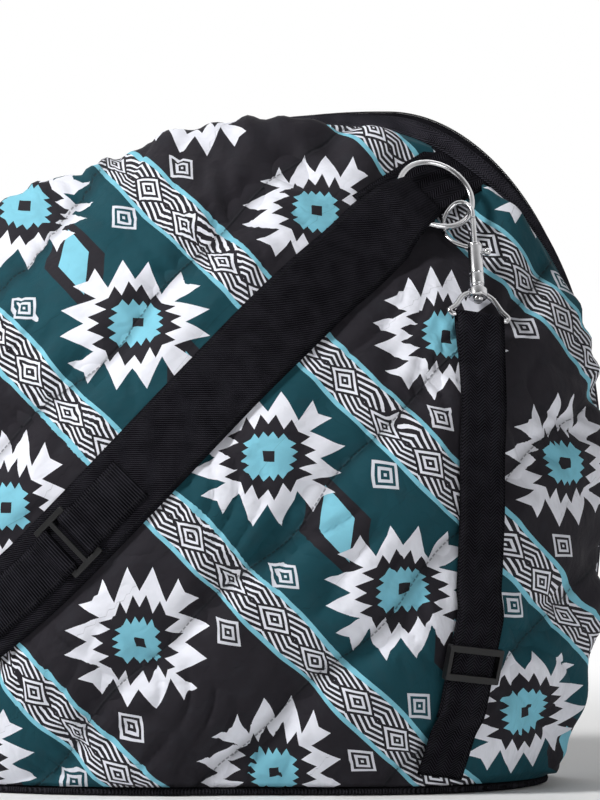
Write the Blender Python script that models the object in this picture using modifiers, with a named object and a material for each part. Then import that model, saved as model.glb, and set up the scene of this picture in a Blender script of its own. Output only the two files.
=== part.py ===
"""Padded riding-saddle carry bag with two clip-on slings. Metres, +Z up, base on Z = 0, front towards +X."""
import math

import bmesh
import bpy
import numpy as np
from mathutils import Matrix, Vector

WELD = 0.00001
GAP = 0.0003

# Outline of the bag in its centre plane
BELLY_Z = 0.237
CROWN_RISE = 0.292
FRONT_RUN = 0.167
FRONT_TUCK = 0.345
CROWN_R = 0.582
CROWN_ARC = math.radians(35)
REAR_TUCK = 0.364
TUCK_REAR, TUCK_FRONT = math.radians(225), math.radians(315)
TUCK_FILL = 0.022
SHOULDER_R = CROWN_R - (CROWN_R - CROWN_RISE) / math.cos(CROWN_ARC)
SHOULDER_RUN = (CROWN_R - SHOULDER_R) * math.sin(CROWN_ARC)
PEAK_X = (SHOULDER_RUN + SHOULDER_R - FRONT_RUN) / 2
PEAK_Z = BELLY_Z + CROWN_RISE
CROWN_Z = PEAK_Z - CROWN_R
SHOULDER_X = PEAK_X - SHOULDER_RUN
HEART_X = PEAK_X - 0.082

# Swell of the side panels
HALF_DEPTH = 0.190
ROUND_SWELL, ROUND_EDGE = 2.0, 2.3
RIDGE_SWELL, RIDGE_EDGE = 1.43, 1.22
RIDGE_ANGLE = math.radians(63)
RIDGE_FRONT = math.radians(31)
RIDGE_REAR = math.radians(35)

# Walls and the zip band
BASE_T = 0.006
PANEL_T = 0.006
PANEL_COLUMNS, PANEL_ROWS = 58, 20
QUILT_PITCH, QUILT_SHIFT = 0.0965, 0.011
QUILT_DEPTH, QUILT_REACH = 0.0050, 0.022
QUILT_FADE = 0.030
SEAM_ROUND, SEAM_RIDGE = 0.037, 0.032
SEAM_GAP = 0.0006
BAND_T = 0.0018
BAND_INNER = 0.0140
TAPE_T = 0.0010
TAPE_GAP = 0.0010
TAPE_LAP = 0.0025
COIL_R = 0.0014
COIL_SPLIT = 0.0014
ZIP_END_LIFT = 0.004
RIM_STEPS = 34

# Zip slider
SLIDER_L, SLIDER_W, SLIDER_PLATE = 0.014, 0.0105, 0.0014
SLIDER_POST = 0.0008
SLIDER_CLEAR = 0.0005
EAR_GAP, EAR_T, EAR_H = 0.0036, 0.0013, 0.0042
PULL_PIN_R = 0.0010
PULL_L, PULL_W, PULL_T = 0.026, 0.0065, 0.0014
STOP_L = 0.005

# Ring and the straps that hold it
RING_X, RING_Z = PEAK_X + 0.0304, PEAK_Z - 0.0767
RING_R, RING_WIRE = 0.030, 0.0025
LEAD_X, LEAD_Z = -0.74, -0.67
SEAT = 0.0008
WEB_T = 0.0016
ANCHOR_W, ANCHOR_END, ANCHOR_SHIFT = 0.052, 0.054, -0.012
CARRY_W, CARRY_T = 0.060, 0.0028
FOLD_W, FOLD_SHIFT = 0.039, -0.0040
FOLD_TIP = 0.010
RETURN_END = 0.052
FLAT_END, DRAPE_START = 0.034, 0.062
RING_SLACK = 0.0004

# Snap hook
HOOK_DIP = math.radians(30)
HOOK_BEARING = math.radians(9)
EYE_LIFT = 0.0073
BARREL_L = 0.040
RING_CATCH = math.radians(7)
HOOK_REACH, HOOK_H, HOOK_BAR = 0.0235, 0.040, 0.0021
HOOK_TIP = 0.024
BARREL_R, BORE_R, BOLT_R = 0.0056, 0.0026, 0.0022
BOLT_TAIL, BOLT_TRAVEL = 0.015, 0.007
KNOB_DROP, KNOB_R, STALK_R = 0.008, 0.0030, 0.0014
NECK_R, NECK_L, HEAD_R, HEAD_L = 0.0024, 0.0092, 0.0042, 0.0025
COLLAR_R, COLLAR_L = 0.0075, 0.0080
EYE_BAR, EYE_HALF, EYE_DROP = 0.0021, 0.0235, 0.0260
BORE_FLOOR = 0.003
SPRING_R, SPRING_WIRE, SPRING_TURNS = 0.0018, 0.00035, 6
SPRING_L = BARREL_L - BOLT_TAIL - BOLT_TRAVEL - BORE_FLOOR - 3 * GAP

# Sling strap and its slider
SLING_W = 0.038
GLIDE_X, GLIDE_Z = 0.1885, 0.1010
GLIDE_W, GLIDE_L, GLIDE_BAR, GLIDE_T = 0.0460, 0.0270, 0.0050, 0.0024
GLIDE_CORE = 0.0060
GLIDE_TRAVEL = 0.018
GLIDE_CHANNEL = 0.0008
TAIL_PAST = 0.012

# Ribbed webbing and its buckle on the carry strap
RIBBED_W, RIBBED_T = 0.037, 0.0014
RIBBED_FROM, BUCKLE_AT = 0.320, 0.250
BUCKLE_L, BUCKLE_W, BUCKLE_T, BUCKLE_BAR = 0.030, 0.047, 0.0026, 0.0050

STRAP_STEP = 0.016

# Colours: red, green, blue, roughness, metallic
CLOTH = (0.055, 0.085, 0.095, 0.85, 0.0)
WEBBING = (0.010, 0.010, 0.011, 0.75, 0.0)
NICKEL = (0.78, 0.77, 0.74, 0.18, 1.0)
PLASTIC = (0.012, 0.012, 0.013, 0.35, 0.0)
ZIP_TEETH = (0.016, 0.016, 0.018, 0.40, 0.0)
GUNMETAL = (0.16, 0.16, 0.17, 0.30, 1.0)


def clear_scene():
    for obj in list(bpy.data.objects):
        bpy.data.objects.remove(obj, do_unlink=True)
    for name in ("saddle_carry_bag", "cutters"):
        collection = bpy.data.collections.new(name)
        bpy.context.scene.collection.children.link(collection)


def material(name, finish):
    made = bpy.data.materials.new(name)
    made.use_nodes = True
    shader = made.node_tree.nodes["Principled BSDF"]
    shader.inputs["Base Color"].default_value = (*finish[:3], 1.0)
    shader.inputs["Roughness"].default_value = finish[3]
    shader.inputs["Metallic"].default_value = finish[4]
    return made


def add_object(name, mesh, finish=None):
    """Link a mesh as one part, or as a cutter when it has no finish."""
    obj = bpy.data.objects.new(name, mesh)
    bpy.data.collections["saddle_carry_bag" if finish else "cutters"].objects.link(obj)
    if finish:
        mesh.materials.clear()
        mesh.materials.append(material(name, finish))
    else:
        obj.hide_render = True
        obj.display_type = "WIRE"
    return obj


def ray_length(angle, centre_x, centre_z, half_x, half_z):
    """Distance from the panel's heart to an ellipse, in the direction of each angle."""
    across, up = np.cos(angle), np.sin(angle)
    off_x, off_z = HEART_X - centre_x, BELLY_Z - centre_z
    a = (across / half_x) ** 2 + (up / half_z) ** 2
    b = across * off_x / half_x**2 + up * off_z / half_z**2
    c = (off_x / half_x) ** 2 + (off_z / half_z) ** 2 - 1
    return (-b + np.sqrt(b * b - a * c)) / a


def wrapped(angle):
    return (np.asarray(angle) + math.pi / 2) % (2 * math.pi) - math.pi / 2


def smooth_step(value):
    value = np.clip(value, 0, 1)
    return value * value * (3 - 2 * value)


def outline_radius(angle):
    """Five arcs in turn: front tuck, front shoulder, crown, rear shoulder and rear tuck.

    The two tucks blend into one another below the bag.
    """
    angle = wrapped(angle)
    peak = math.atan2(CROWN_RISE, PEAK_X - HEART_X)
    corner_x = PEAK_X - CROWN_R * math.sin(CROWN_ARC)
    corner_z = CROWN_Z + CROWN_R * math.cos(CROWN_ARC)
    shoulder = math.atan2(corner_z - BELLY_Z, corner_x - HEART_X)
    radius = ray_length(angle, PEAK_X, BELLY_Z, FRONT_RUN, CROWN_RISE)
    radius = np.where(angle > peak, ray_length(angle, PEAK_X, CROWN_Z, CROWN_R, CROWN_R), radius)
    rear = ray_length(angle, SHOULDER_X, BELLY_Z, SHOULDER_R, SHOULDER_R)
    radius = np.where(angle > shoulder, rear, radius)
    front_tuck = ray_length(angle, PEAK_X, BELLY_Z, FRONT_RUN, FRONT_TUCK)
    rear_tuck = ray_length(angle, SHOULDER_X, BELLY_Z, SHOULDER_R, REAR_TUCK)
    fore = smooth_step((angle % (2 * math.pi) - TUCK_REAR) / (TUCK_FRONT - TUCK_REAR))
    tuck = rear_tuck + (front_tuck - rear_tuck) * fore + TUCK_FILL * 4 * fore * (1 - fore)
    return np.where((angle < 0) | (angle > math.pi), tuck, radius)


def ridge_share(angle):
    """1 where the crown is pinched to a ridge in front of the peak, falling to 0 on both sides."""
    turn = wrapped(angle) - RIDGE_ANGLE
    return np.exp(-((turn / np.where(turn < 0, RIDGE_FRONT, RIDGE_REAR)) ** 2))


def swell_powers(angle):
    share = ridge_share(angle)
    swell = ROUND_SWELL + (RIDGE_SWELL - ROUND_SWELL) * share
    edge = ROUND_EDGE + (RIDGE_EDGE - ROUND_EDGE) * share
    return swell, edge


def depth_at(x, z):
    """Half depth of the bag over a point of its centre plane."""
    angle = np.arctan2(z - BELLY_Z, x - HEART_X)
    share = np.hypot(z - BELLY_Z, x - HEART_X) / outline_radius(angle)
    swell, edge = swell_powers(angle)
    return HALF_DEPTH * np.clip(1 - share**swell, 0, None) ** (1 / edge)


def form_value(points):
    """Below 0 inside the bag, 0 on its surface and above 0 outside."""
    x, y, z = points[..., 0], points[..., 1], points[..., 2]
    angle = np.arctan2(z - BELLY_Z, x - HEART_X)
    share = np.hypot(z - BELLY_Z, x - HEART_X) / outline_radius(angle)
    swell, edge = swell_powers(angle)
    return share**swell + (np.abs(y) / HALF_DEPTH) ** edge - 1


def form_slope(points):
    step = 0.00002
    slope = np.zeros_like(points)
    for axis in range(3):
        shift = np.zeros(3)
        shift[axis] = step
        slope[..., axis] = (form_value(points + shift) - form_value(points - shift)) / (2 * step)
    return slope


def unit(vectors):
    return vectors / np.linalg.norm(vectors, axis=-1, keepdims=True)


def outward(points):
    return unit(form_slope(points))


def settle(points, lift=0.0):
    """Move points along the form's slope until they lie on it, then lift them off it."""
    points = np.array(points, dtype=float)
    for _ in range(12):
        slope = form_slope(points)
        points = points - (form_value(points) / (slope**2).sum(-1))[..., None] * slope
    return points + outward(points) * np.asarray(lift)[..., None]


def seam_y(angle):
    return SEAM_ROUND + (SEAM_RIDGE - SEAM_ROUND) * ridge_share(angle)


def band_point(angle, y):
    """Surface point of the bag on a given ray and at a given distance from the centre plane."""
    swell, edge = swell_powers(angle)
    share = (1 - (np.abs(y) / HALF_DEPTH) ** edge) ** (1 / swell)
    radius = share * outline_radius(angle)
    return np.stack([HEART_X + radius * np.cos(angle), y + 0 * angle, BELLY_Z + radius * np.sin(angle)], -1)


def rim_angle(height, front):
    """Angle of the ray that meets the outline at a height, low on the front or the rear."""
    start, stop = (math.radians(-75), 0.0) if front else (math.radians(255), math.pi)
    angles = np.linspace(start, stop, 400)
    heights = BELLY_Z + outline_radius(angles) * np.sin(angles)
    return float(np.interp(height, heights, angles))


def crown_angle(turn):
    """Angle of the ray to a point of the crown arc, which lies a turn behind the peak."""
    x = PEAK_X - CROWN_R * math.sin(turn)
    z = CROWN_Z + CROWN_R * math.cos(turn)
    return math.atan2(z - BELLY_Z, x - HEART_X)


def even_angles(start, stop, count):
    """Angles whose rim points are equally far apart."""
    fine = np.linspace(start, stop, 600)
    rim = np.stack([outline_radius(fine) * np.cos(fine), outline_radius(fine) * np.sin(fine)], -1)
    run = np.concatenate([[0], np.cumsum(np.linalg.norm(np.diff(rim, axis=0), axis=1))])
    return np.interp(np.linspace(0, run[-1], count), run, fine)


def sheet(name, points, thickness, finish):
    """A flat grid moved onto points[i, j], with a wall half on each side of it."""
    rows, columns = points.shape[:2]
    bm = bmesh.new()
    bmesh.ops.create_grid(bm, x_segments=rows - 1, y_segments=columns - 1, size=0.5)
    for vert in bm.verts:
        i = round((vert.co.x + 0.5) * (rows - 1))
        j = round((vert.co.y + 0.5) * (columns - 1))
        vert.co = points[i, j]
    bmesh.ops.remove_doubles(bm, verts=bm.verts, dist=WELD)
    mesh = bpy.data.meshes.new(name)
    bm.to_mesh(mesh)
    bm.free()
    mesh.shade_smooth()
    obj = add_object(name, mesh, finish)
    wall = obj.modifiers.new("wall", "SOLIDIFY")
    wall.thickness = thickness
    wall.offset = 0.0
    return obj


def evaluated_mesh(obj):
    graph = bpy.context.evaluated_depsgraph_get()
    graph.update()
    return bpy.data.meshes.new_from_object(obj.evaluated_get(graph), depsgraph=graph)


def baked(obj, finish=None):
    """Replace a curve, or an object with modifiers, by a welded mesh of what it shows."""
    name = obj.name
    mesh = evaluated_mesh(obj)
    bm = bmesh.new()
    bm.from_mesh(mesh)
    bmesh.ops.remove_doubles(bm, verts=bm.verts, dist=WELD)
    bmesh.ops.recalc_face_normals(bm, faces=bm.faces)
    bm.to_mesh(mesh)
    bm.free()
    matrix = obj.matrix_world.copy()
    bpy.data.objects.remove(obj, do_unlink=True)
    made = add_object(name, mesh, finish)
    made.name = name
    made.matrix_world = matrix
    return made


def tube(name, points, radius, finish=None, closed=False, resolution=2):
    """A round wire through points."""
    curve = bpy.data.curves.new(name, "CURVE")
    curve.dimensions = "3D"
    curve.bevel_depth = radius
    curve.bevel_resolution = resolution
    curve.use_fill_caps = not closed
    spline = curve.splines.new("POLY")
    spline.points.add(len(points) - 1)
    spline.points.foreach_set("co", np.hstack([points, np.ones((len(points), 1))]).ravel())
    spline.use_cyclic_u = closed
    return baked(add_object(name, curve), finish)


def turned(name, profile, segments=24, finish=None):
    """Revolve (radius, height) pairs, listed down the outer side, about local Z."""
    bm = bmesh.new()
    verts = [bm.verts.new((radius, 0, height)) for radius, height in profile]
    for first, second in zip(verts, verts[1:]):
        bm.edges.new((first, second))
    if profile[0][0] > 0:
        bm.edges.new((verts[-1], verts[0]))
    mesh = bpy.data.meshes.new(name)
    bm.to_mesh(mesh)
    bm.free()
    obj = add_object(name, mesh, finish)
    screw = obj.modifiers.new("turn", "SCREW")
    screw.steps = segments
    screw.render_steps = segments
    screw.use_merge_vertices = True
    screw.merge_threshold = WELD
    return baked(obj, finish)


def box(name, low, high, finish=None, bevel=0.0):
    """A block between two local corners."""
    bm = bmesh.new()
    bmesh.ops.create_cube(bm, size=1.0)
    size = Vector(high) - Vector(low)
    bmesh.ops.scale(bm, vec=size, verts=bm.verts)
    bmesh.ops.translate(bm, vec=(Vector(low) + Vector(high)) / 2, verts=bm.verts)
    mesh = bpy.data.meshes.new(name)
    bm.to_mesh(mesh)
    bm.free()
    obj = add_object(name, mesh, finish)
    if bevel:
        edge = obj.modifiers.new("edge", "BEVEL")
        edge.width = bevel
        edge.segments = 2
    return obj


def combine(obj, others, operation):
    """Join or cut with other local shapes, then remove them."""
    finish_slot = obj.data.materials[0] if obj.data.materials else None
    for other in others:
        step = obj.modifiers.new(operation.lower(), "BOOLEAN")
        step.operation = operation
        step.object = other
        step.solver = "EXACT"
    mesh = evaluated_mesh(obj)
    obj.modifiers.clear()
    obj.data = mesh
    mesh.materials.clear()
    if finish_slot:
        mesh.materials.append(finish_slot)
    for other in others:
        bpy.data.objects.remove(other, do_unlink=True)
    return obj


def frame_matrix(origin, x_axis, y_axis, z_axis):
    matrix = Matrix([[*row] for row in np.column_stack([x_axis, y_axis, z_axis, origin])])
    matrix.resize_4x4()
    matrix[3][3] = 1.0
    return matrix


def left_copy(right):
    """The same piece on the other side of the centre plane, with its origin mirrored too."""
    mesh = evaluated_mesh(right)
    origin = right.matrix_world.translation.copy()
    mirror = Matrix.Scale(-1, 4, Vector((0, 1, 0)))
    origin.y = -origin.y
    mesh.transform(Matrix.Translation(-origin) @ mirror @ right.matrix_world)
    mesh.flip_normals()
    finish = right.data.materials[0]
    name = right.name.replace("_right", "_left")
    copy = bpy.data.objects.new(name, mesh)
    bpy.data.collections["saddle_carry_bag"].objects.link(copy)
    own = finish.copy()
    own.name = name
    mesh.materials.clear()
    mesh.materials.append(own)
    copy.location = origin
    return copy


def smooth_path(points, step):
    """A Catmull-Rom curve through points, cut into equal steps."""
    points = np.asarray(points, dtype=float)
    ends = [2 * points[0] - points[1], *points, 2 * points[-1] - points[-2]]
    pieces = []
    share = np.linspace(0, 1, 24, endpoint=False)[:, None]
    for p0, p1, p2, p3 in zip(ends, ends[1:], ends[2:], ends[3:]):
        bend = 2 * p0 - 5 * p1 + 4 * p2 - p3
        curl = 3 * p1 - p0 - 3 * p2 + p3
        pieces.append(0.5 * (2 * p1 + (p2 - p0) * share + bend * share**2 + curl * share**3))
    fine = np.vstack([*pieces, points[-1:]])
    run = np.concatenate([[0], np.cumsum(np.linalg.norm(np.diff(fine, axis=0), axis=1))])
    marks = np.linspace(0, run[-1], max(2, round(run[-1] / step) + 1))
    return np.stack([np.interp(marks, run, fine[:, axis]) for axis in range(3)], -1)


def quilt_depth(x, z, seam_gap):
    """How far the cloth is drawn in: stitched lines at one pitch that rise towards the front."""
    across = (z - x) * math.sqrt(0.5) - QUILT_SHIFT
    line = np.abs((across + QUILT_PITCH / 2) % QUILT_PITCH - QUILT_PITCH / 2)
    depth = QUILT_DEPTH * np.exp(-((line / QUILT_REACH) ** 2))
    return depth * smooth_step(seam_gap / QUILT_FADE) * smooth_step((z - BASE_T) / QUILT_FADE)


def side_panel():
    """One padded and quilted side, from the zip band's seam down to the base seam."""
    foot = BASE_T + SEAM_GAP
    angles = even_angles(rim_angle(foot, True), rim_angle(foot, False), PANEL_COLUMNS)
    top = band_point(angles, -(seam_y(angles) + SEAM_GAP))
    top[:, 2] = np.maximum(top[:, 2], foot)
    bottom_x = np.linspace(top[0, 0], top[-1, 0], PANEL_COLUMNS)
    share = np.linspace(0, 1, PANEL_ROWS) ** 1.7
    x = top[:, None, 0] * (1 - share) + bottom_x[:, None] * share
    z = top[:, None, 2] * (1 - share) + foot * share
    points = np.stack([x, -depth_at(x, z), z], -1)
    points[:, 0] = top
    points[0] = top[0]
    points[-1] = top[-1]
    seam_gap = np.linalg.norm(points - points[:, :1], axis=-1)
    drawn_in = quilt_depth(points[..., 0], points[..., 2], seam_gap)
    mid = points - outward(points) * (PANEL_T / 2 + drawn_in)[..., None]
    mid[0] = mid[0].mean(0)
    mid[-1] = mid[-1].mean(0)
    return sheet("side_panel_right", mid, PANEL_T, CLOTH)


def sunk(surface, depth):
    """Points on a shell parallel to the surface, each as far from the centre plane as before."""
    normal = outward(surface)
    level = normal * (1, 0, 1)
    return surface - level * (depth / (level**2).sum(-1))[..., None]


def rim_strip(name, angles, ys, depth, thickness, finish):
    """A strip along the rim; ys holds one distance from the centre plane, or an array, for each edge."""
    rows = []
    for y in ys:
        surface = band_point(angles, -np.asarray(y) * np.ones_like(angles))
        middle = depth + thickness / 2
        inner = depth > 0
        rows.append(sunk(surface, middle) if inner else surface - outward(surface) * middle)
    return sheet(name, np.stack(rows, 1), thickness, finish)


def zip_band():
    """Webbing, tape and one row of coil on the right of the centre plane."""
    foot = BASE_T + ZIP_END_LIFT
    front, rear = rim_angle(foot, True), rim_angle(foot, False)
    stop = crown_angle(CROWN_ARC)
    whole = even_angles(front, rear, RIM_STEPS + 12)
    zipped = even_angles(front, stop, RIM_STEPS)
    outer = seam_y(whole)
    lap = BAND_INNER + TAPE_LAP + BAND_T
    rim_strip("zip_band_right", whole, [outer, outer - 0.004, lap, BAND_INNER], 0, BAND_T, WEBBING)
    coil_y = COIL_SPLIT / 2 + COIL_R
    coil_edge = coil_y + COIL_R + GAP
    tape_depth = BAND_T + TAPE_GAP
    rim_strip("zip_tape_right", zipped, [BAND_INNER + TAPE_LAP, coil_edge], tape_depth, TAPE_T, WEBBING)
    surface = band_point(zipped, -coil_y * np.ones_like(zipped))
    middle_depth = tape_depth + TAPE_T / 2
    line = sunk(surface, middle_depth)
    tube("zip_coil_right", line, COIL_R, ZIP_TEETH, resolution=1)


def rear_gusset():
    """Plain webbing that closes the band behind the zip's end, on both sides of the centre plane."""
    start = crown_angle(CROWN_ARC + STOP_L * 2 / CROWN_R)
    angles = even_angles(start, rim_angle(BASE_T + ZIP_END_LIFT, False), 20)
    edge = BAND_INNER - SEAM_GAP
    strip = rim_strip("rear_gusset", angles, [edge, 0.0, -edge], 0, BAND_T, WEBBING)
    return strip


def base_panel():
    """Stiff base: the bag's own outline just above the floor."""
    foot = BASE_T + SEAM_GAP
    front = HEART_X + outline_radius(rim_angle(foot, True)) * math.cos(rim_angle(foot, True))
    rear = HEART_X + outline_radius(rim_angle(foot, False)) * math.cos(rim_angle(foot, False))
    turn = np.linspace(0, math.pi, 22)
    x = (front + rear) / 2 + (front - rear) / 2 * np.cos(turn)
    y = depth_at(x, foot)
    loop = np.vstack([np.stack([x, y], -1), np.stack([x[-2:0:-1], -y[-2:0:-1]], -1)])
    curve = bpy.data.curves.new("base_panel", "CURVE")
    curve.dimensions = "2D"
    curve.fill_mode = "BOTH"
    curve.extrude = BASE_T / 2
    spline = curve.splines.new("POLY")
    spline.points.add(len(loop) - 1)
    flat = np.hstack([loop, np.zeros((len(loop), 1)), np.ones((len(loop), 1))])
    spline.points.foreach_set("co", flat.ravel())
    spline.use_cyclic_u = True
    obj = add_object("base_panel", curve)
    obj.location.z = BASE_T / 2
    bpy.context.view_layer.update()
    return baked(obj, CLOTH)


def ring_frame():
    """Origin on the panel under the ring, the way the straps lead, the way across, and outwards."""
    origin = settle([RING_X, -depth_at(RING_X, RING_Z), RING_Z])
    normal = outward(origin)
    lead = np.array([LEAD_X, 0, LEAD_Z])
    lead = unit(lead - normal * lead.dot(normal))
    across = np.cross(normal, lead)
    run, side = np.meshgrid(np.linspace(-1, 1, 7) * RING_R, np.linspace(-1, 1, 7) * RING_R)
    near = settle(origin + run[..., None] * lead + side[..., None] * across)
    rise = float(((near - origin) @ normal).max())
    return origin + normal * rise, lead, across, normal


ANCHOR_LIFT = SEAT + WEB_T / 2
UNDER_LIFT = SEAT + WEB_T + GAP + CARRY_T / 2
RING_LIFT = UNDER_LIFT + CARRY_T / 2 + RING_SLACK + RING_WIRE
OVER_LIFT = RING_LIFT + RING_WIRE + RING_SLACK + CARRY_T / 2
STACK_LIFT = UNDER_LIFT + CARRY_T + 2 * RING_SLACK
PANEL_LIFT = SEAT + CARRY_T / 2


def ring():
    origin, lead, across, normal = ring_frame()
    turn = np.arange(36) / 36 * 2 * math.pi
    circle = np.stack([np.cos(turn), np.sin(turn), 0 * turn], -1) * RING_R
    obj = tube("ring_right", circle, RING_WIRE, NICKEL, closed=True)
    obj.matrix_world = frame_matrix(origin + normal * RING_LIFT, lead, across, normal)
    obj.data.shade_smooth()
    return obj


def anchor_webbing():
    """From the band's seam, under the ring, to the end of the carry strap's return."""
    origin, lead, across, normal = ring_frame()
    back = np.linspace(0, 0.06, 61)
    origin = origin + across * ANCHOR_SHIFT
    trial = settle(origin - back[:, None] * lead)
    angle = np.arctan2(trial[:, 2] - BELLY_Z, trial[:, 0] - HEART_X)
    room = -trial[:, 1] - seam_y(angle) - 2 * SEAM_GAP - WEB_T
    start = -float(np.interp(0, -room, back))
    run = np.linspace(start, ANCHOR_END, 9)
    side = np.linspace(-0.5, 0.5, 5) * ANCHOR_W
    flat = origin + run[:, None, None] * lead + side[None, :, None] * across
    return sheet("anchor_webbing_right", settle(flat, ANCHOR_LIFT), WEB_T, WEBBING)


def carry_route():
    """Middle line of the carry strap on the panel, from the rear seam up to the ring."""
    origin, lead, across, normal = ring_frame()
    plan = [(-0.222, 0.098), (-0.185, 0.126), (-0.1425, 0.162), (-0.104, 0.200), (-0.052, 0.254),
            (0.013, 0.322), (0.073, 0.382), (0.098, 0.404)]
    laid = [(x, -float(depth_at(x, z)), z) for x, z in plan]
    rear = [(-0.2730, -0.0430, 0.0640), (-0.2640, -0.0700, 0.0720), (-0.2470, -0.0980, 0.0820)]
    near = [origin + lead * d for d in (0.062, 0.040, FOLD_TIP + (OVER_LIFT - UNDER_LIFT) / 2)]
    return smooth_path(settle(np.array([*rear, *laid, *near])), STRAP_STEP)


def strap_rows(route, width, lift, across_points=4):
    """Rows of points across a strap on the bag, each lifted off the surface."""
    ahead = unit(np.gradient(route, axis=0))
    sideways = unit(np.cross(outward(route), ahead))
    side = np.linspace(-0.5, 0.5, across_points)
    rows = route[:, None] + side[None, :, None] * np.asarray(width)[..., None, None] * sideways[:, None]
    return settle(rows, np.broadcast_to(np.asarray(lift)[..., None], rows.shape[:2]))


def carry_strap():
    """Wide webbing from the rear seam to the ring, over the wire, round through the ring and back."""
    origin, lead, across, normal = ring_frame()
    route = carry_route()
    ahead = (route - origin) @ lead
    near = ahead + 1e9 * (np.arange(len(route)) < len(route) / 2)
    width = np.interp(near, [FOLD_TIP, CARRY_W], [FOLD_W, CARRY_W])
    reach = [FLAT_END + 0.002, RETURN_END - 0.002, RETURN_END + 0.006, RETURN_END + 0.028]
    lift = np.interp(near, reach, [OVER_LIFT, STACK_LIFT, STACK_LIFT, PANEL_LIFT])
    rows = strap_rows(route, width, lift)
    side = np.linspace(-0.5, 0.5, rows.shape[1])
    origin = origin + across * FOLD_SHIFT
    flat = (origin + ahead[:, None, None] * lead + lift[:, None, None] * normal
            + (side[None] * width[:, None])[..., None] * -across)
    hold = smooth_step((DRAPE_START - near) / (DRAPE_START - FLAT_END))[:, None, None]
    over = rows * (1 - hold) + flat * hold
    fold_r = (OVER_LIFT - UNDER_LIFT) / 2
    turn = np.linspace(0, math.pi, 8)[1:-1]
    fold_d = FOLD_TIP + fold_r - fold_r * np.sin(turn)
    fold_h = (OVER_LIFT + UNDER_LIFT) / 2 + fold_r * np.cos(turn)
    fold = (origin + fold_d[:, None, None] * lead + fold_h[:, None, None] * normal
            + (side * FOLD_W)[None, :, None] * -across)
    back = np.linspace(FOLD_TIP + fold_r, RETURN_END, 5)
    back_w = np.interp(back, [FOLD_TIP, CARRY_W], [FOLD_W, CARRY_W])
    level = (origin + back[:, None, None] * lead + (side[None] * back_w[:, None])[..., None] * -across)
    draped = settle(level, UNDER_LIFT)
    hold = smooth_step((DRAPE_START - back) / (DRAPE_START - FLAT_END))[:, None, None]
    under = draped * (1 - hold) + (level + normal * UNDER_LIFT) * hold
    return sheet("carry_strap_right", np.concatenate([over, fold, under]), CARRY_T, WEBBING)


def snap_frame():
    """Foot of the snap's barrel, the hook's side, its face and its axis.

    The snap tilts about the ring until the bar of its eye hangs at EYE_LIFT off the panel.
    """
    origin, lead, across, normal = ring_frame()
    toward = math.cos(RING_CATCH) * across + math.sin(RING_CATCH) * lead
    wire = origin + normal * RING_LIFT + toward * RING_R
    up = np.array([math.sin(HOOK_BEARING), 0, math.cos(HOOK_BEARING)])
    up = unit(up - normal * up.dot(normal))
    beside = np.cross(up, normal)
    beside = beside if beside[0] < 0 else -beside
    reach = BARREL_L + HOOK_H / 2
    rise = 0.0
    for _ in range(6):
        axis = math.cos(rise) * up - math.sin(rise) * normal
        inward = np.cross(axis, beside)
        inward = inward if inward.dot(normal) < 0 else -inward
        hook_side = math.cos(HOOK_DIP) * beside + math.sin(HOOK_DIP) * inward
        foot = wire - hook_side * HOOK_REACH / 2 - axis * reach
        bar = foot - axis * EYE_DROP
        lift = float((bar - settle(bar)) @ outward(bar))
        rise += (EYE_LIFT - lift) / (reach + EYE_DROP)
    return foot, hook_side, np.cross(axis, hook_side), axis


def eye_frame():
    """The snap's foot with the eye turned on the swivel, so that its bar lies level with the panel."""
    foot, hook_side, face, axis = snap_frame()
    bar = foot - axis * EYE_DROP
    level = unit(np.cross(outward(bar), axis))
    return foot, level, np.cross(axis, level), axis


def snap_body():
    """Barrel, neck and hook in one casting, bored for the bolt and slotted for its knob."""
    foot, hook_side, face, axis = snap_frame()
    profile = [(0, BARREL_L), (BARREL_R - 0.0008, BARREL_L), (BARREL_R, BARREL_L - 0.0010),
               (BARREL_R, 0.0030), (BARREL_R - 0.0006, 0.0024), (BARREL_R - 0.0006, 0.0014),
               (BARREL_R, 0.0008), (BARREL_R - 0.0004, 0), (NECK_R, 0), (NECK_R, -NECK_L),
               (HEAD_R, -NECK_L), (HEAD_R * 0.8, -NECK_L - HEAD_L), (0, -NECK_L - HEAD_L)]
    body = turned("snap_body_right", profile, 20, NICKEL)
    tip = BARREL_L + HOOK_TIP
    top = BARREL_L + HOOK_H
    curve = [(0.001, BARREL_L - 0.003), (0.008, BARREL_L - 0.0005), (0.017, BARREL_L + 0.005),
             (HOOK_REACH - 0.001, BARREL_L + 0.013), (HOOK_REACH, BARREL_L + 0.022),
             (HOOK_REACH - 0.003, BARREL_L + 0.031), (0.014, top - 0.0015), (0.008, top - 0.0005),
             (0.003, top - 0.004), (0.0005, top - 0.009), (0, tip)]
    path = smooth_path([(x, 0, z) for x, z in curve], 0.0035)
    hook = tube("hook", path, HOOK_BAR)
    combine(body, [hook], "UNION")
    bore = turned("bore", [(0, tip - GAP), (BORE_R, tip - GAP), (BORE_R, BORE_FLOOR), (0, BORE_FLOOR)], 16)
    knob_z = BARREL_L - KNOB_DROP
    half = STALK_R + GAP
    slot = box("slot", (-0.02, -half, knob_z - BOLT_TRAVEL - half), (0, half, knob_z + half))
    combine(body, [bore, slot], "DIFFERENCE")
    body.matrix_world = frame_matrix(foot, hook_side, face, axis)
    return body


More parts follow.
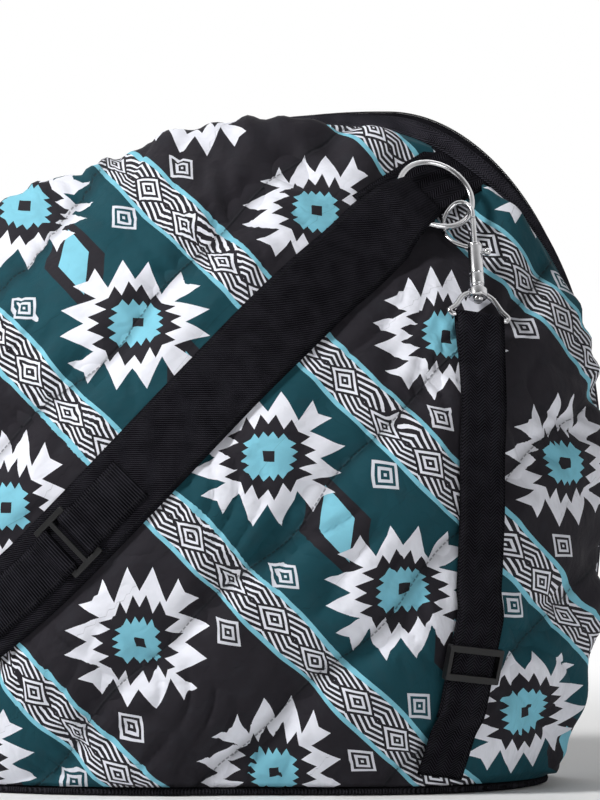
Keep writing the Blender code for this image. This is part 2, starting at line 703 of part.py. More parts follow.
def snap_bolt():
    """Sliding bolt with its thumb knob."""
    foot, hook_side, face, axis = snap_frame()
    tip = BARREL_L + HOOK_TIP - 2 * GAP
    tail = BARREL_L - BOLT_TAIL
    bolt = turned("snap_bolt_right", [(0, tip), (BOLT_R - 0.0004, tip), (BOLT_R, tip - 0.0004),
                                      (BOLT_R, tail), (0, tail)], 16, NICKEL)
    knob_z = BARREL_L - KNOB_DROP
    reach = BARREL_R + GAP + KNOB_R
    stalk = tube("stalk", np.array([(0.0, 0, knob_z), (-reach, 0, knob_z)]), STALK_R)
    bm = bmesh.new()
    bmesh.ops.create_uvsphere(bm, u_segments=12, v_segments=8, radius=KNOB_R)
    bmesh.ops.rotate(bm, matrix=Matrix.Rotation(0.3, 3, "X"), verts=bm.verts)
    bmesh.ops.translate(bm, vec=(-reach, 0, knob_z), verts=bm.verts)
    mesh = bpy.data.meshes.new("knob")
    bm.to_mesh(mesh)
    bm.free()
    combine(bolt, [stalk, add_object("knob", mesh)], "UNION")
    bolt.matrix_world = frame_matrix(foot, hook_side, face, axis)
    return bolt


def bolt_spring():
    """Coil behind the bolt, drawn as short as it is when the bolt is drawn right back."""
    foot, hook_side, face, axis = snap_frame()
    turn = np.linspace(0, SPRING_TURNS * 2 * math.pi, SPRING_TURNS * 6 + 1)
    rise = np.linspace(0, SPRING_L - 2 * SPRING_WIRE, len(turn))
    start = BORE_FLOOR + GAP + SPRING_WIRE
    coil = np.stack([SPRING_R * np.cos(turn), SPRING_R * np.sin(turn), start + rise], -1)
    obj = tube("bolt_spring_right", coil, SPRING_WIRE, NICKEL, resolution=0)
    obj.matrix_world = frame_matrix(foot, hook_side, face, axis)
    return obj


def swivel_eye():
    """Collar round the snap's neck with a wide loop for the strap."""
    low = -(NECK_L + COLLAR_L) / 2
    high = low + COLLAR_L
    edge = 0.0012
    hole = NECK_R + SLIDER_CLEAR
    profile = [(hole, high), (COLLAR_R - edge, high), (COLLAR_R, high - edge), (COLLAR_R, low + edge),
               (COLLAR_R - edge, low), (hole, low)]
    eye = turned("swivel_eye_right", profile, 20, NICKEL)
    half = [(COLLAR_R - 0.0008, low + 0.004), (0.0125, low), (0.0185, -EYE_DROP + 0.0085),
            (EYE_HALF, -EYE_DROP + 0.0035), (EYE_HALF - 0.0010, -EYE_DROP + 0.0008),
            (EYE_HALF - 0.003, -EYE_DROP)]
    loop = [(x, 0, z) for x, z in half] + [(-x, 0, z) for x, z in reversed(half)]
    combine(eye, [tube("loop", np.array(loop), EYE_BAR)], "UNION")
    eye.matrix_world = frame_matrix(*eye_frame())
    return eye


OUTER_LIFT = SEAT + 2 * WEB_T + GAP - WEB_T / 2
INNER_LIFT = SEAT + WEB_T / 2
GLIDE_LIFT = SEAT + WEB_T + GLIDE_CHANNEL / 2 + GLIDE_T + GLIDE_CHANNEL / 2 + WEB_T / 2


def glide_frame():
    """Panel point under the strap's slider, down the strap, across it and outwards."""
    origin = settle([GLIDE_X, -depth_at(GLIDE_X, GLIDE_Z), GLIDE_Z])
    normal = outward(origin)
    down = np.array([-0.14, 0, -1.0])
    down = unit(down - normal * down.dot(normal))
    return origin, down, np.cross(normal, down), normal


def sling_strap():
    """Webbing from the base seam, over the slider's core, round the eye's bar and back underneath."""
    origin, down, across, normal = glide_frame()
    foot, hook_side, face, axis = eye_frame()
    bar = foot - axis * EYE_DROP
    plan = [(0.166, 0.014), (0.175, 0.045), (GLIDE_X, GLIDE_Z), (0.194, 0.150), (0.1968, 0.213),
            (0.1970, 0.255), (0.1985, 0.300)]
    laid = settle(np.array([(x, -float(depth_at(x, z)), z) for x, z in plan]))
    middle = (OUTER_LIFT + INNER_LIFT) / 2
    route = smooth_path([*(laid + outward(laid) * middle), bar], STRAP_STEP)
    normals = outward(route)
    ahead = unit(np.gradient(route, axis=0))
    sideways = unit(np.cross(ahead, normals))
    left = np.linalg.norm(route - bar, axis=1)
    turn_side = smooth_step((0.060 - left) / 0.060)[:, None]
    hook_line = hook_side if hook_side.dot(sideways[-1]) > 0 else -hook_side
    sideways = unit(sideways * (1 - turn_side) + hook_line * turn_side)
    normals = unit(np.cross(sideways, ahead))
    along = (route - origin) @ down
    flat_half = GLIDE_L / 2 + GLIDE_TRAVEL + 0.003
    hold = smooth_step(1 - (np.abs(along) - flat_half) / 0.022)
    wrap_r = EYE_BAR + RING_SLACK + WEB_T / 2
    spread = np.interp(left, [0.006, 0.034], [wrap_r, (OUTER_LIFT - INNER_LIFT) / 2])
    side = np.linspace(-0.5, 0.5, 3) * SLING_W

    def layer(offset, level, share):
        """Rows at an offset from the route, straightened to one level along the slider's travel."""
        rows = (route + offset[:, None] * normals)[:, None] + side[None, :, None] * sideways[:, None]
        straight = origin + down * along[:, None] + normal * level
        straight = straight[:, None] + side[None, :, None] * across
        return rows * (1 - share[:, None, None]) + straight * share[:, None, None]

    tail = flat_half + TAIL_PAST
    outer_offset = np.interp(along, [flat_half, tail + 0.020], [1.0, -1.0]) * spread
    outer = layer(outer_offset, GLIDE_LIFT, hold)
    inner = layer(-spread, INNER_LIFT, hold)
    inner = inner[along < tail]
    turn = np.linspace(0, math.pi, 8)[1:-1]
    out = normals[-1] * np.cos(turn)[:, None] + ahead[-1] * np.sin(turn)[:, None]
    fold = (bar + wrap_r * out)[:, None] + side[None, :, None] * sideways[-1]
    rows = np.concatenate([outer, fold, inner[::-1]])
    return sheet("sling_strap_right", rows, WEB_T, WEBBING)


def strap_glide():
    """Moulded slider: a core under the outer webbing and two bars over it, joined by side rails."""
    origin, down, across, normal = glide_frame()
    half_l, half_w = GLIDE_L / 2, GLIDE_W / 2
    core_low = SEAT + WEB_T + GLIDE_CHANNEL / 2
    core_high = GLIDE_LIFT - WEB_T / 2 - GLIDE_CHANNEL / 2
    bar_low = GLIDE_LIFT + WEB_T / 2 + GLIDE_CHANNEL / 2
    top = bar_low + GLIDE_T
    slot = SLING_W / 2 + GLIDE_CHANNEL
    root = slot + 0.001
    edge = 0.0003
    body = box("strap_glide_right", (-half_l, slot, core_low), (half_l, half_w, top), PLASTIC, 0.0010)
    parts = [box("rail", (-half_l, -half_w, core_low), (half_l, -slot, top), bevel=0.0010),
             box("core", (-GLIDE_CORE / 2, -root, core_low + edge / 2), (GLIDE_CORE / 2, root, core_high))]
    for side in (-1, 1):
        ends = sorted((side * (half_l - edge), side * (half_l - GLIDE_BAR)))
        parts.append(box("bar", (ends[0], -root, bar_low), (ends[1], root, top - edge)))
    combine(body, parts, "UNION")
    body.matrix_world = frame_matrix(origin, down, across, normal)
    return body


def strap_on_carry(name, start, stop, dips):
    """Ribbed webbing on the carry strap between two marks, rising over a buckle bar at each dip."""
    route = carry_route()
    run = np.concatenate([[0], np.cumsum(np.linalg.norm(np.diff(route, axis=0), axis=1))])
    marks = np.unique(np.concatenate([np.arange(start, stop, STRAP_STEP), [stop], *dips]))
    points = np.stack([np.interp(marks, run, route[:, axis]) for axis in range(3)], -1)
    low = SEAT + CARRY_T + GAP + RIBBED_T / 2
    high = low + BUCKLE_T + 2 * GAP + 0.0010
    lift = np.full(len(marks), low)
    for dip in dips:
        lift[(marks > dip[1] - 1e-6) & (marks < dip[2] + 1e-6)] = high
    rows = strap_rows(points, np.full(len(marks), RIBBED_W), lift, 3)
    return sheet(name, rows, RIBBED_T, WEBBING)


def ribbed_webbing():
    bar = BUCKLE_AT + BUCKLE_L / 2 - BUCKLE_BAR
    dip = [bar - 0.0058, bar - 0.0018, bar + BUCKLE_BAR + 0.0018, bar + BUCKLE_BAR + 0.0060]
    return strap_on_carry("ribbed_webbing_right", dip[0], RIBBED_FROM, [dip])


def strap_tail():
    bar = BUCKLE_AT - BUCKLE_L / 2
    dip = [bar - 0.0060, bar - 0.0018, bar + BUCKLE_BAR + 0.0018, bar + BUCKLE_BAR + 0.0058]
    return strap_on_carry("strap_tail_right", 0.002, dip[3], [dip])


def ladder_buckle():
    """Flat plastic frame with two slots, lying on the carry strap."""
    route = carry_route()
    run = np.concatenate([[0], np.cumsum(np.linalg.norm(np.diff(route, axis=0), axis=1))])
    middle = np.array([np.interp(BUCKLE_AT, run, route[:, axis]) for axis in range(3)])
    ahead = np.array([np.interp(BUCKLE_AT + 0.01, run, route[:, axis]) for axis in range(3)]) - middle
    normal = outward(middle)
    ahead = unit(ahead - normal * ahead.dot(normal))
    half_l, half_w = BUCKLE_L / 2, BUCKLE_W / 2
    low = SEAT + CARRY_T + 2 * GAP
    top = low + BUCKLE_T
    slot = RIBBED_W / 2 + 2 * GAP
    inner = half_l - BUCKLE_BAR
    core = 0.002
    body = box("ladder_buckle_right", (-half_l, -half_w, low), (half_l, half_w, top), PLASTIC, 0.0008)
    cutters = [box("slot_a", (core, -slot, low - 0.01), (inner, slot, top + 0.01)),
               box("slot_b", (-inner, -slot, low - 0.01), (-core, slot, top + 0.01))]
    combine(body, cutters, "DIFFERENCE")
    body.matrix_world = frame_matrix(middle, ahead, np.cross(normal, ahead), normal)
    return body


def crown_place(obj, turn):
    """Set a piece that is drawn at the top of the crown arc at a turn behind the peak."""
    centre = Vector((PEAK_X, 0, CROWN_Z))
    obj.data.transform(Matrix.Rotation(-turn, 4, "Y"))
    obj.matrix_world = Matrix.Translation(centre)
    return obj


SLIDER_TURN = CROWN_ARC - (SLIDER_L / 2 + STOP_L / 2) / CROWN_R
COIL_DEPTH = BAND_T + TAPE_GAP + TAPE_T / 2
PLATE_LOW = CROWN_R - COIL_DEPTH + COIL_R + SLIDER_CLEAR


def zip_slider():
    """Two plates joined by a post that runs between the coils, with ears for the pull."""
    half_l, half_w = SLIDER_L / 2, SLIDER_W / 2
    under = CROWN_R - COIL_DEPTH - COIL_R - SLIDER_CLEAR
    top = PLATE_LOW + SLIDER_PLATE
    body = box("zip_slider", (-half_l, -half_w, PLATE_LOW), (half_l, half_w, top), GUNMETAL, 0.0005)
    ear_in = EAR_GAP / 2
    post_l, post_w, inset = half_l / 2, SLIDER_POST / 2, 0.0005
    parts = [box("under", (-half_l, -half_w, under - SLIDER_PLATE), (half_l, half_w, under)),
             box("post", (-post_l, -post_w, under - inset), (post_l, post_w, top - inset))]
    for side in (-1, 1):
        edges = sorted((side * ear_in, side * (ear_in + EAR_T)))
        parts.append(box("ear", (-0.0025, edges[0], top - 0.0005), (0.0025, edges[1], top + EAR_H)))
    reach = ear_in + EAR_T / 2
    pin_z = top + EAR_H - 0.0017
    parts.append(tube("pin", np.array([(0, -reach, pin_z), (0, reach, pin_z)]), PULL_PIN_R))
    combine(body, parts, "UNION")
    return crown_place(body, SLIDER_TURN)


def zip_pull():
    """Flat tab with an eye round the slider's pin, lying back towards the rear."""
    pin_z = PLATE_LOW + SLIDER_PLATE + EAR_H - 0.0017
    eye_r = PULL_PIN_R + GAP + 0.0010
    half_eye = EAR_GAP / 2 - SLIDER_CLEAR
    eye = tube("zip_pull", np.array([(0, -half_eye, 0), (0, half_eye, 0)]), eye_r, GUNMETAL, resolution=4)
    neck = box("neck", (-0.010, -half_eye, -PULL_T / 2), (0, half_eye, PULL_T / 2))
    tab = box("tab", (-PULL_L, -PULL_W / 2, -PULL_T / 2), (-0.0085, PULL_W / 2, PULL_T / 2), bevel=0.0003)
    combine(eye, [neck, tab], "UNION")
    hole = tube("hole", np.array([(0, -0.01, 0), (0, 0.01, 0)]), PULL_PIN_R + GAP, resolution=4)
    combine(eye, [hole], "DIFFERENCE")
    arc = Matrix.Rotation(-SLIDER_TURN, 4, "Y")
    eye.matrix_world = Matrix.Translation((PEAK_X, 0, CROWN_Z)) @ arc @ Matrix.Translation((0, 0, pin_z))
    return eye


def zip_stop():
    """Clamp over the coils' rear ends."""
    low, high = CROWN_R - COIL_DEPTH - COIL_R, CROWN_R + 0.0008
    half = COIL_SPLIT / 2 + 2 * COIL_R
    stop = box("zip_stop", (-STOP_L / 2, -half, low), (STOP_L / 2, half, high), GUNMETAL, 0.0004)
    return crown_place(stop, CROWN_ARC + (STOP_L / 2 + 2 * GAP) / CROWN_R)


def build():
    clear_scene()
    base_panel()
    side_panel()
    zip_band()
    for make in (anchor_webbing, carry_strap, ring, snap_body, snap_bolt, bolt_spring, swivel_eye,
                 sling_strap, strap_glide, ribbed_webbing, ladder_buckle, strap_tail):
        make()
    bpy.context.view_layer.update()
    for right in [obj for obj in bpy.data.objects if obj.name.endswith("_right")]:
        left_copy(right)
    rear_gusset()
    zip_stop()
    zip_slider()
    zip_pull()
    bpy.context.view_layer.update()


build()
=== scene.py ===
"""Looks of a padded riding-saddle carry bag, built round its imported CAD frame."""
import math
from functools import partialmethod

import bpy
import numpy as np
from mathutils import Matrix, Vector


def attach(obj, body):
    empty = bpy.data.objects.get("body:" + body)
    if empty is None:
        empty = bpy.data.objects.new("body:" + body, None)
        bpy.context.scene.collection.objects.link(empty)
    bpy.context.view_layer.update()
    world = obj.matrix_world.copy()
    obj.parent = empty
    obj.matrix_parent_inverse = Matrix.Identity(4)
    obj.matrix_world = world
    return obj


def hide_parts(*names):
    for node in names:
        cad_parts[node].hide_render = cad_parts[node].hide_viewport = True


bl_info = {
    "name": "Saddle carry bag",
    "version": (1, 0, 0),
    "blender": (4, 5, 0),
    "location": "View3D > Sidebar > Saddle bag",
    "description": "Builds the printed panels, webbing, zip and hardware of a saddle carry bag",
    "category": "Add Mesh",
}

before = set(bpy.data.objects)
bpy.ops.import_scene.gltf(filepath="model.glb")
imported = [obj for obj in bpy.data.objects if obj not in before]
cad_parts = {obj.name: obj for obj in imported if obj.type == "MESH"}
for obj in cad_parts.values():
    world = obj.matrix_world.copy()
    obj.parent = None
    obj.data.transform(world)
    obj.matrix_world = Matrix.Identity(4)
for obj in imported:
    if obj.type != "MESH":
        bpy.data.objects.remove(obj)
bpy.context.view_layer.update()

# Values that the frame's own form is drawn with, in metres and radians
BELLY_Z = 0.237
CROWN_RISE = 0.292
FRONT_RUN, FRONT_TUCK, REAR_TUCK = 0.167, 0.345, 0.364
CROWN_R, CROWN_ARC = 0.582, math.radians(35)
SHOULDER_R = CROWN_R - (CROWN_R - CROWN_RISE) / math.cos(CROWN_ARC)
SHOULDER_RUN = (CROWN_R - SHOULDER_R) * math.sin(CROWN_ARC)
PEAK_X = (SHOULDER_RUN + SHOULDER_R - FRONT_RUN) / 2
CROWN_Z = BELLY_Z + CROWN_RISE - CROWN_R
SHOULDER_X = PEAK_X - SHOULDER_RUN
HEART_X = PEAK_X - 0.082
HALF_DEPTH = 0.190
TUCK_FILL = 0.088
RIDGE_ANGLE, RIDGE_FRONT, RIDGE_REAR = (math.radians(a) for a in (63, 31, 35))
# Height of the base seam, and the gap between the form and the webbing on it
FOOT, SEAT = 0.0066, 0.0008
SIDES = ("right", "left")


# Settings


def measure(name, default, description, kind="LENGTH"):
    return bpy.props.FloatProperty(name=name, description=description, default=default, unit=kind)


def shade(name, default, description):
    return bpy.props.FloatVectorProperty(name=name, description=description, default=default, size=3,
                                         subtype="COLOR")


class ClothSettings(bpy.types.PropertyGroup):
    """Printed panels."""
    puff: measure("Puff", 0.0088, "Height of the padding between two quilted seams")
    repeat: measure("Stripe repeat", 0.333, "Width of one set of printed stripes")
    motif: measure("Motif pitch", 0.143, "Distance between two serrated diamonds")
    teal: shade("Teal", (0.0095, 0.060, 0.079), "Ground colour of the wide stripes")
    charcoal: shade("Charcoal", (0.020, 0.018, 0.023), "Ground colour of the other stripes")
    chalk: shade("Chalk", (0.82, 0.83, 0.90), "White of the motifs")
    turquoise: shade("Turquoise", (0.22, 0.56, 0.69), "Light accent of the motifs")


class TrimSettings(bpy.types.PropertyGroup):
    """Webbing, zip and moulded parts."""
    webbing: shade("Webbing", (0.0069, 0.0066, 0.0083), "Colour of the woven straps")
    plastic: shade("Plastic", (0.006, 0.006, 0.0065), "Colour of the slider and buckle")
    nickel: shade("Nickel", (0.62, 0.62, 0.635), "Colour of the plated hardware")
    rib: measure("Rib", 0.0025, "Pitch of the twill in the webbing")


class StageSettings(bpy.types.PropertyGroup):
    """Camera, floor and light."""
    distance: measure("Distance", 3.5, "Camera's distance from the centre plane")
    lens: measure("Lens", 200.0, "Focal length of the camera", "CAMERA")
    backdrop: shade("Backdrop", (0.86, 0.86, 0.86), "Colour of the floor and backdrop")


# Form of the bag


def unit(v):
    """v / |v|."""
    return v / np.linalg.norm(v, axis=-1, keepdims=True)


def smooth_step(x):
    """x^2 (3 - 2 x), with x held between 0 and 1."""
    x = np.clip(x, 0, 1)
    return x * x * (3 - 2 * x)


def ray_length(angle, x0, z0, half_x, half_z):
    """Root of |heart + r (cos a, sin a) - centre| = 1, measured in the ellipse's own half axes."""
    across, up = np.cos(angle), np.sin(angle)
    dx, dz = HEART_X - x0, BELLY_Z - z0
    a = (across / half_x) ** 2 + (up / half_z) ** 2
    b = across * dx / half_x**2 + up * dz / half_z**2
    c = (dx / half_x) ** 2 + (dz / half_z) ** 2 - 1
    return (-b + np.sqrt(b * b - a * c)) / a


def wrapped(angle):
    """The same angle in the turn that starts straight down."""
    return (np.asarray(angle) + math.pi / 2) % (2 * math.pi) - math.pi / 2


def outline_radius(angle):
    """Radius R(a) of the outline: an arc of an ellipse or a circle for each range of the angle a."""
    angle = wrapped(angle)
    radius = ray_length(angle, PEAK_X, BELLY_Z, FRONT_RUN, CROWN_RISE)
    crown = ray_length(angle, PEAK_X, CROWN_Z, CROWN_R, CROWN_R)
    shoulder = ray_length(angle, SHOULDER_X, BELLY_Z, SHOULDER_R, SHOULDER_R)
    radius = np.where(angle > math.atan2(CROWN_RISE, PEAK_X - HEART_X), crown, radius)
    radius = np.where(angle > crown_angle(CROWN_ARC), shoulder, radius)
    front = ray_length(angle, PEAK_X, BELLY_Z, FRONT_RUN, FRONT_TUCK)
    rear = ray_length(angle, SHOULDER_X, BELLY_Z, SHOULDER_R, REAR_TUCK)
    fore = smooth_step((angle % (2 * math.pi) - math.radians(225)) / math.radians(90))
    tuck = rear + (front - rear) * fore + TUCK_FILL * fore * (1 - fore)
    return np.where((angle < 0) | (angle > math.pi), tuck, radius)


def ridge_share(angle):
    """exp(-(turn / width)^2), with turn the angle from the ridge and a width for each side of it."""
    turn = wrapped(angle) - RIDGE_ANGLE
    return np.exp(-((turn / np.where(turn < 0, RIDGE_FRONT, RIDGE_REAR)) ** 2))


def powers(ridge):
    """Swell and edge, the two powers of the form, which are lower near the ridge and make it sharper."""
    return 2.0 - 0.57 * ridge, 2.3 - 1.08 * ridge


def polar(x, z):
    """Angle from the heart, share of the outline's radius there, and the two powers of the form."""
    angle = np.arctan2(z - BELLY_Z, x - HEART_X)
    return angle, np.hypot(z - BELLY_Z, x - HEART_X) / outline_radius(angle), *powers(ridge_share(angle))


def depth_at(x, z):
    """HALF_DEPTH (1 - share^swell)^(1 / edge)."""
    _, share, swell, edge = polar(x, z)
    return HALF_DEPTH * np.clip(1 - share**swell, 0, None) ** (1 / edge)


def form_value(p):
    """share^swell + |y / HALF_DEPTH|^edge - 1, which is 0 on the bag."""
    _, share, swell, edge = polar(p[..., 0], p[..., 2])
    return share**swell + (np.abs(p[..., 1]) / HALF_DEPTH) ** edge - 1


def slope(p):
    """Gradient of form_value by central differences."""
    step = 0.00002
    return np.stack([(form_value(p + s) - form_value(p - s)) / (2 * step) for s in np.eye(3) * step], -1)


def outward(p):
    """Unit normal of the form through a point."""
    return unit(slope(p))


def settle(p, lift=0.0):
    """Newton steps p - f grad f / |grad f|^2 onto the bag, and then lift along the outward normal."""
    p = np.array(p, float)
    for _ in range(10):
        g = slope(p)
        p = p - (form_value(p) / (g**2).sum(-1))[..., None] * g
    return p + outward(p) * np.asarray(lift)[..., None]


def seam_y(angle):
    """Distance of the zip band's seam from the centre plane, a little less at the ridge."""
    return 0.037 - 0.005 * ridge_share(angle)


def band_point(angle, y):
    """Point of the bag at an angle and at |y| from the centre plane, by solving the form for share."""
    swell, edge = powers(ridge_share(angle))
    r = (1 - (np.abs(y) / HALF_DEPTH) ** edge) ** (1 / swell) * outline_radius(angle)
    return np.stack([HEART_X + r * np.cos(angle), y + 0 * angle, BELLY_Z + r * np.sin(angle)], -1)


def rim_angle(height, front):
    """Angle at which the outline's lower half passes a height, at the front or the rear."""
    angles = np.linspace(math.radians(-75), 0, 400) if front else np.linspace(math.radians(255), math.pi, 400)
    return float(np.interp(height, BELLY_Z + outline_radius(angles) * np.sin(angles), angles))


def crown_angle(turn):
    """Angle from the heart of the crown's point at a turn from its peak."""
    return math.atan2(CROWN_Z + CROWN_R * math.cos(turn) - BELLY_Z, PEAK_X - CROWN_R * math.sin(turn) - HEART_X)


def arc_run(points):
    """Running length along the first axis of an array of points."""
    steps = np.linalg.norm(np.diff(points, axis=0), axis=-1)
    return np.concatenate([np.zeros((1, *steps.shape[1:])), np.cumsum(steps, 0)])


def even_angles(start, stop, count):
    """Angles whose points lie at equal steps along the outline."""
    fine = np.linspace(start, stop, 1200)
    run = arc_run(outline_radius(fine)[:, None] * np.stack([np.cos(fine), np.sin(fine)], -1))
    return np.interp(np.linspace(0, run[-1], count), run, fine)


def at_run(marks, points):
    """Points of a polyline at running lengths along it."""
    return np.stack([np.interp(marks, arc_run(points), points[:, k]) for k in range(3)], -1)


def smooth_path(points, step):
    """Catmull-Rom curve through the points, cut into equal steps."""
    p = np.asarray(points, float)
    p = np.concatenate([2 * p[:1] - p[1:2], p, 2 * p[-1:] - p[-2:-1]])
    s = np.linspace(0, 1, 24, endpoint=False)[None, :, None]
    a, b, c, d = (p[i:len(p) - 3 + i, None] for i in range(4))
    fine = 0.5 * (2 * b + (c - a) * s + (2 * a - 5 * b + 4 * c - d) * s**2 + (3 * b - a - 3 * c + d) * s**3)
    fine = np.concatenate([fine.reshape(-1, 3), p[-2:-1]])
    length = arc_run(fine)[-1]
    return at_run(np.linspace(0, length, max(2, round(length / step) + 1)), fine)


# Frames of the hardware, on the right side


def on_panel(plan):
    """Points of the right panel over pairs (x, z)."""
    x, z = np.asarray(plan, float).T
    return settle(np.stack([x, -depth_at(x, z), z], -1))


def panel_frame(x, z, lead):
    """Panel point over (x, z), the way that lead takes on the panel there, the way across and the normal."""
    origin = on_panel((x, z))
    normal = outward(origin)
    lead = np.array(lead)
    lead = unit(lead - normal * lead.dot(normal))
    return origin, lead, np.cross(normal, lead), normal


def ring_frame():
    """Frame of the ring's straps, raised to the panel's highest point within 30 mm each way."""
    origin, lead, across, normal = panel_frame(0.1624, 0.4523, (-0.74, 0, -0.67))
    run, side = np.meshgrid(np.linspace(-1, 1, 7) * 0.030, np.linspace(-1, 1, 7) * 0.030)
    near = settle(origin + run[..., None] * lead + side[..., None] * across)
    return origin + normal * float(((near - origin) @ normal).max()), lead, across, normal


RING_ORIGIN, LEAD, ACROSS, RING_NORMAL = ring_frame()
# Thicknesses of the webbings, wire radii, and the levels above the panel that the layers lie at
WEB_T, CARRY_T, RIB_T, BAND_T, WIRE_R, RING_R, EYE_R = 0.0016, 0.0028, 0.0014, 0.0018, 0.0025, 0.030, 0.0021
LAYER_GAP, WIRE_GAP, GLIDE_GAP, GLIDE_BAR = 0.0003, 0.0004, 0.0008, 0.0024
GLIDE_LIFT = SEAT + WEB_T + GLIDE_GAP + GLIDE_BAR + WEB_T / 2
BAND_FOOT, ZIP_DEPTH, ROUTE_STEP = 0.010, 0.0033, 0.004
UNDER_LIFT = SEAT + WEB_T + LAYER_GAP + CARRY_T / 2
RING_LIFT = UNDER_LIFT + CARRY_T / 2 + WIRE_GAP + WIRE_R
OVER_LIFT = RING_LIFT + WIRE_R + WIRE_GAP + CARRY_T / 2
STACK_LIFT = UNDER_LIFT + CARRY_T + 0.0008
BARREL_L, HOOK_H, HOOK_TIP, HOOK_REACH, EYE_DROP = 0.040, 0.040, 0.024, 0.0235, 0.0260


def snap_frame():
    """Foot of the snap's barrel, the hook's side, its face and its axis.

    The snap tilts about the ring until the bar of its eye hangs 7.3 mm off the panel.
    """
    catch, bearing, dip = (math.radians(a) for a in (7, 9, 30))
    wire = RING_ORIGIN + RING_NORMAL * RING_LIFT + (math.cos(catch) * ACROSS + math.sin(catch) * LEAD) * RING_R
    up = np.array([math.sin(bearing), 0, math.cos(bearing)])
    up = unit(up - RING_NORMAL * up.dot(RING_NORMAL))
    beside = np.cross(up, RING_NORMAL)
    beside = beside if beside[0] < 0 else -beside
    reach, rise = BARREL_L + HOOK_H / 2, 0.0
    for _ in range(6):
        axis = math.cos(rise) * up - math.sin(rise) * RING_NORMAL
        inward = np.cross(axis, beside)
        inward = inward if inward.dot(RING_NORMAL) < 0 else -inward
        hook_side = math.cos(dip) * beside + math.sin(dip) * inward
        foot = wire - hook_side * HOOK_REACH / 2 - axis * reach
        bar = foot - axis * EYE_DROP
        rise += (0.0073 - float((bar - settle(bar)) @ outward(bar))) / (reach + EYE_DROP)
    return foot, hook_side, np.cross(axis, hook_side), axis


SNAP = snap_frame()
EYE_BAR = SNAP[0] - SNAP[3] * EYE_DROP
EYE_SIDE = unit(np.cross(outward(EYE_BAR), SNAP[3]))
EYE = (SNAP[0], EYE_SIDE, np.cross(SNAP[3], EYE_SIDE), SNAP[3])
GLIDE = panel_frame(0.1885, 0.1010, (-0.14, 0, -1.0))


# Mesh building


def make_mesh(name, points, quads, lay, side, finish, slot, body, node, quilt=None):
    """Mesh from arrays: mirrored for the left side, with its pattern coordinates in attributes.

    A quad that names a corner twice becomes a triangle.
    """
    points, quads = np.array(points, float), np.asarray(quads)
    if side == "left":
        points[:, 1] *= -1
        quads = quads[:, ::-1]
    used, quads = np.unique(quads, return_inverse=True)
    faces = [list(dict.fromkeys(quad)) for quad in quads.reshape(-1, 4).tolist()]
    mesh = bpy.data.meshes.new(name)
    mesh.from_pydata(points[used].tolist(), [], faces)
    mesh.shade_smooth()
    for label, given in (("lay", lay), ("quilt", quilt)):
        if given is not None:
            attribute = mesh.attributes.new(label, "FLOAT_VECTOR", "POINT")
            attribute.data.foreach_set("vector", np.asarray(given, np.float32)[used].ravel())
    mesh.materials.append(finish_of(finish))
    obj = bpy.data.objects.new(name, mesh)
    bpy.context.scene.collection.objects.link(obj)
    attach(obj, body)
    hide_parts(node)
    return obj


def grid_quads(rows, columns, wrap=False):
    """Corner indices of a grid's cells; wrap joins the last column to the first."""
    index = np.arange(rows * columns).reshape(rows, columns)
    if wrap:
        index = np.concatenate([index, index[:, :1]], 1)
    return np.stack([index[:-1, :-1], index[1:, :-1], index[1:, 1:], index[:-1, 1:]], -1).reshape(-1, 4)


def slab(mid, over, under, normals=None):
    """Closed skin round a grid: mid + n over on one side and mid - n under on the other.

    The two sides share the grid's border, so over and under are 0 there. Where n isn't given, it is the cross
    product of the grid's two differences.
    """
    if normals is None:
        normals = unit(np.cross(np.gradient(mid, axis=0), np.gradient(mid, axis=1)))
    index = np.arange(over.size).reshape(over.shape)
    other = index + over.size
    other[0], other[-1], other[:, 0], other[:, -1] = index[0], index[-1], index[:, 0], index[:, -1]
    upper = grid_quads(*over.shape)
    return (np.concatenate([(mid + normals * over[..., None]).reshape(-1, 3),
                            (mid - normals * under[..., None]).reshape(-1, 3)]),
            np.concatenate([upper, other.ravel()[upper][:, ::-1]]))


def rounded(rows, columns, power):
    """(1 - |s|^power)^(1/2) along both sides of a grid, which is 1 inside and 0 on its border."""
    across = np.sqrt(np.clip(1 - np.abs(np.linspace(-1, 1, columns)) ** power, 0, None))
    along = np.sqrt(np.clip(1 - np.abs(np.linspace(-1, 1, rows)) ** (power * 6), 0, None))
    return along[:, None] * across[None]


def webbing(name, rows, thickness, side, finish, node):
    """Woven strap round a grid of middle points: half a thickness each way, rounded at its edges.

    Its pattern coordinates are the run along it, the distance from its middle line and half its width.
    """
    half = rounded(*rows.shape[:2], 14) * thickness / 2
    along = arc_run(rows[:, rows.shape[1] // 2])[:, None] + np.zeros(rows.shape[1])
    width = arc_run(np.swapaxes(rows, 0, 1)).T
    middle = width[:, -1:] / 2
    lay = np.stack([along, width - middle, middle + 0 * along], -1).reshape(-1, 3)
    make_mesh(name, *slab(rows, half, half), np.concatenate([lay, lay]), side, finish, "webbing", "bag", node)


def pipe(path, plane, radius, sides=16, closed=False):
    """Tube round a flat curve: p + r (cos v m + sin v b), with b the normal of its plane and m = b x tangent.

    The ends of an open curve close onto poles.
    """
    path, plane = np.asarray(path, float), np.asarray(plane, float)
    step = np.roll(path, -1, 0) - np.roll(path, 1, 0) if closed else np.gradient(path, axis=0)
    v = np.arange(sides)[:, None] / sides * 2 * math.pi
    grid = path[:, None] + radius * (np.cos(v) * unit(np.cross(plane, unit(step)))[:, None] + np.sin(v) * plane)
    if not closed:
        return capped(grid)
    return grid.reshape(-1, 3), (grid_quads(len(grid) + 1, sides, True) % (len(grid) * sides))[:, ::-1]


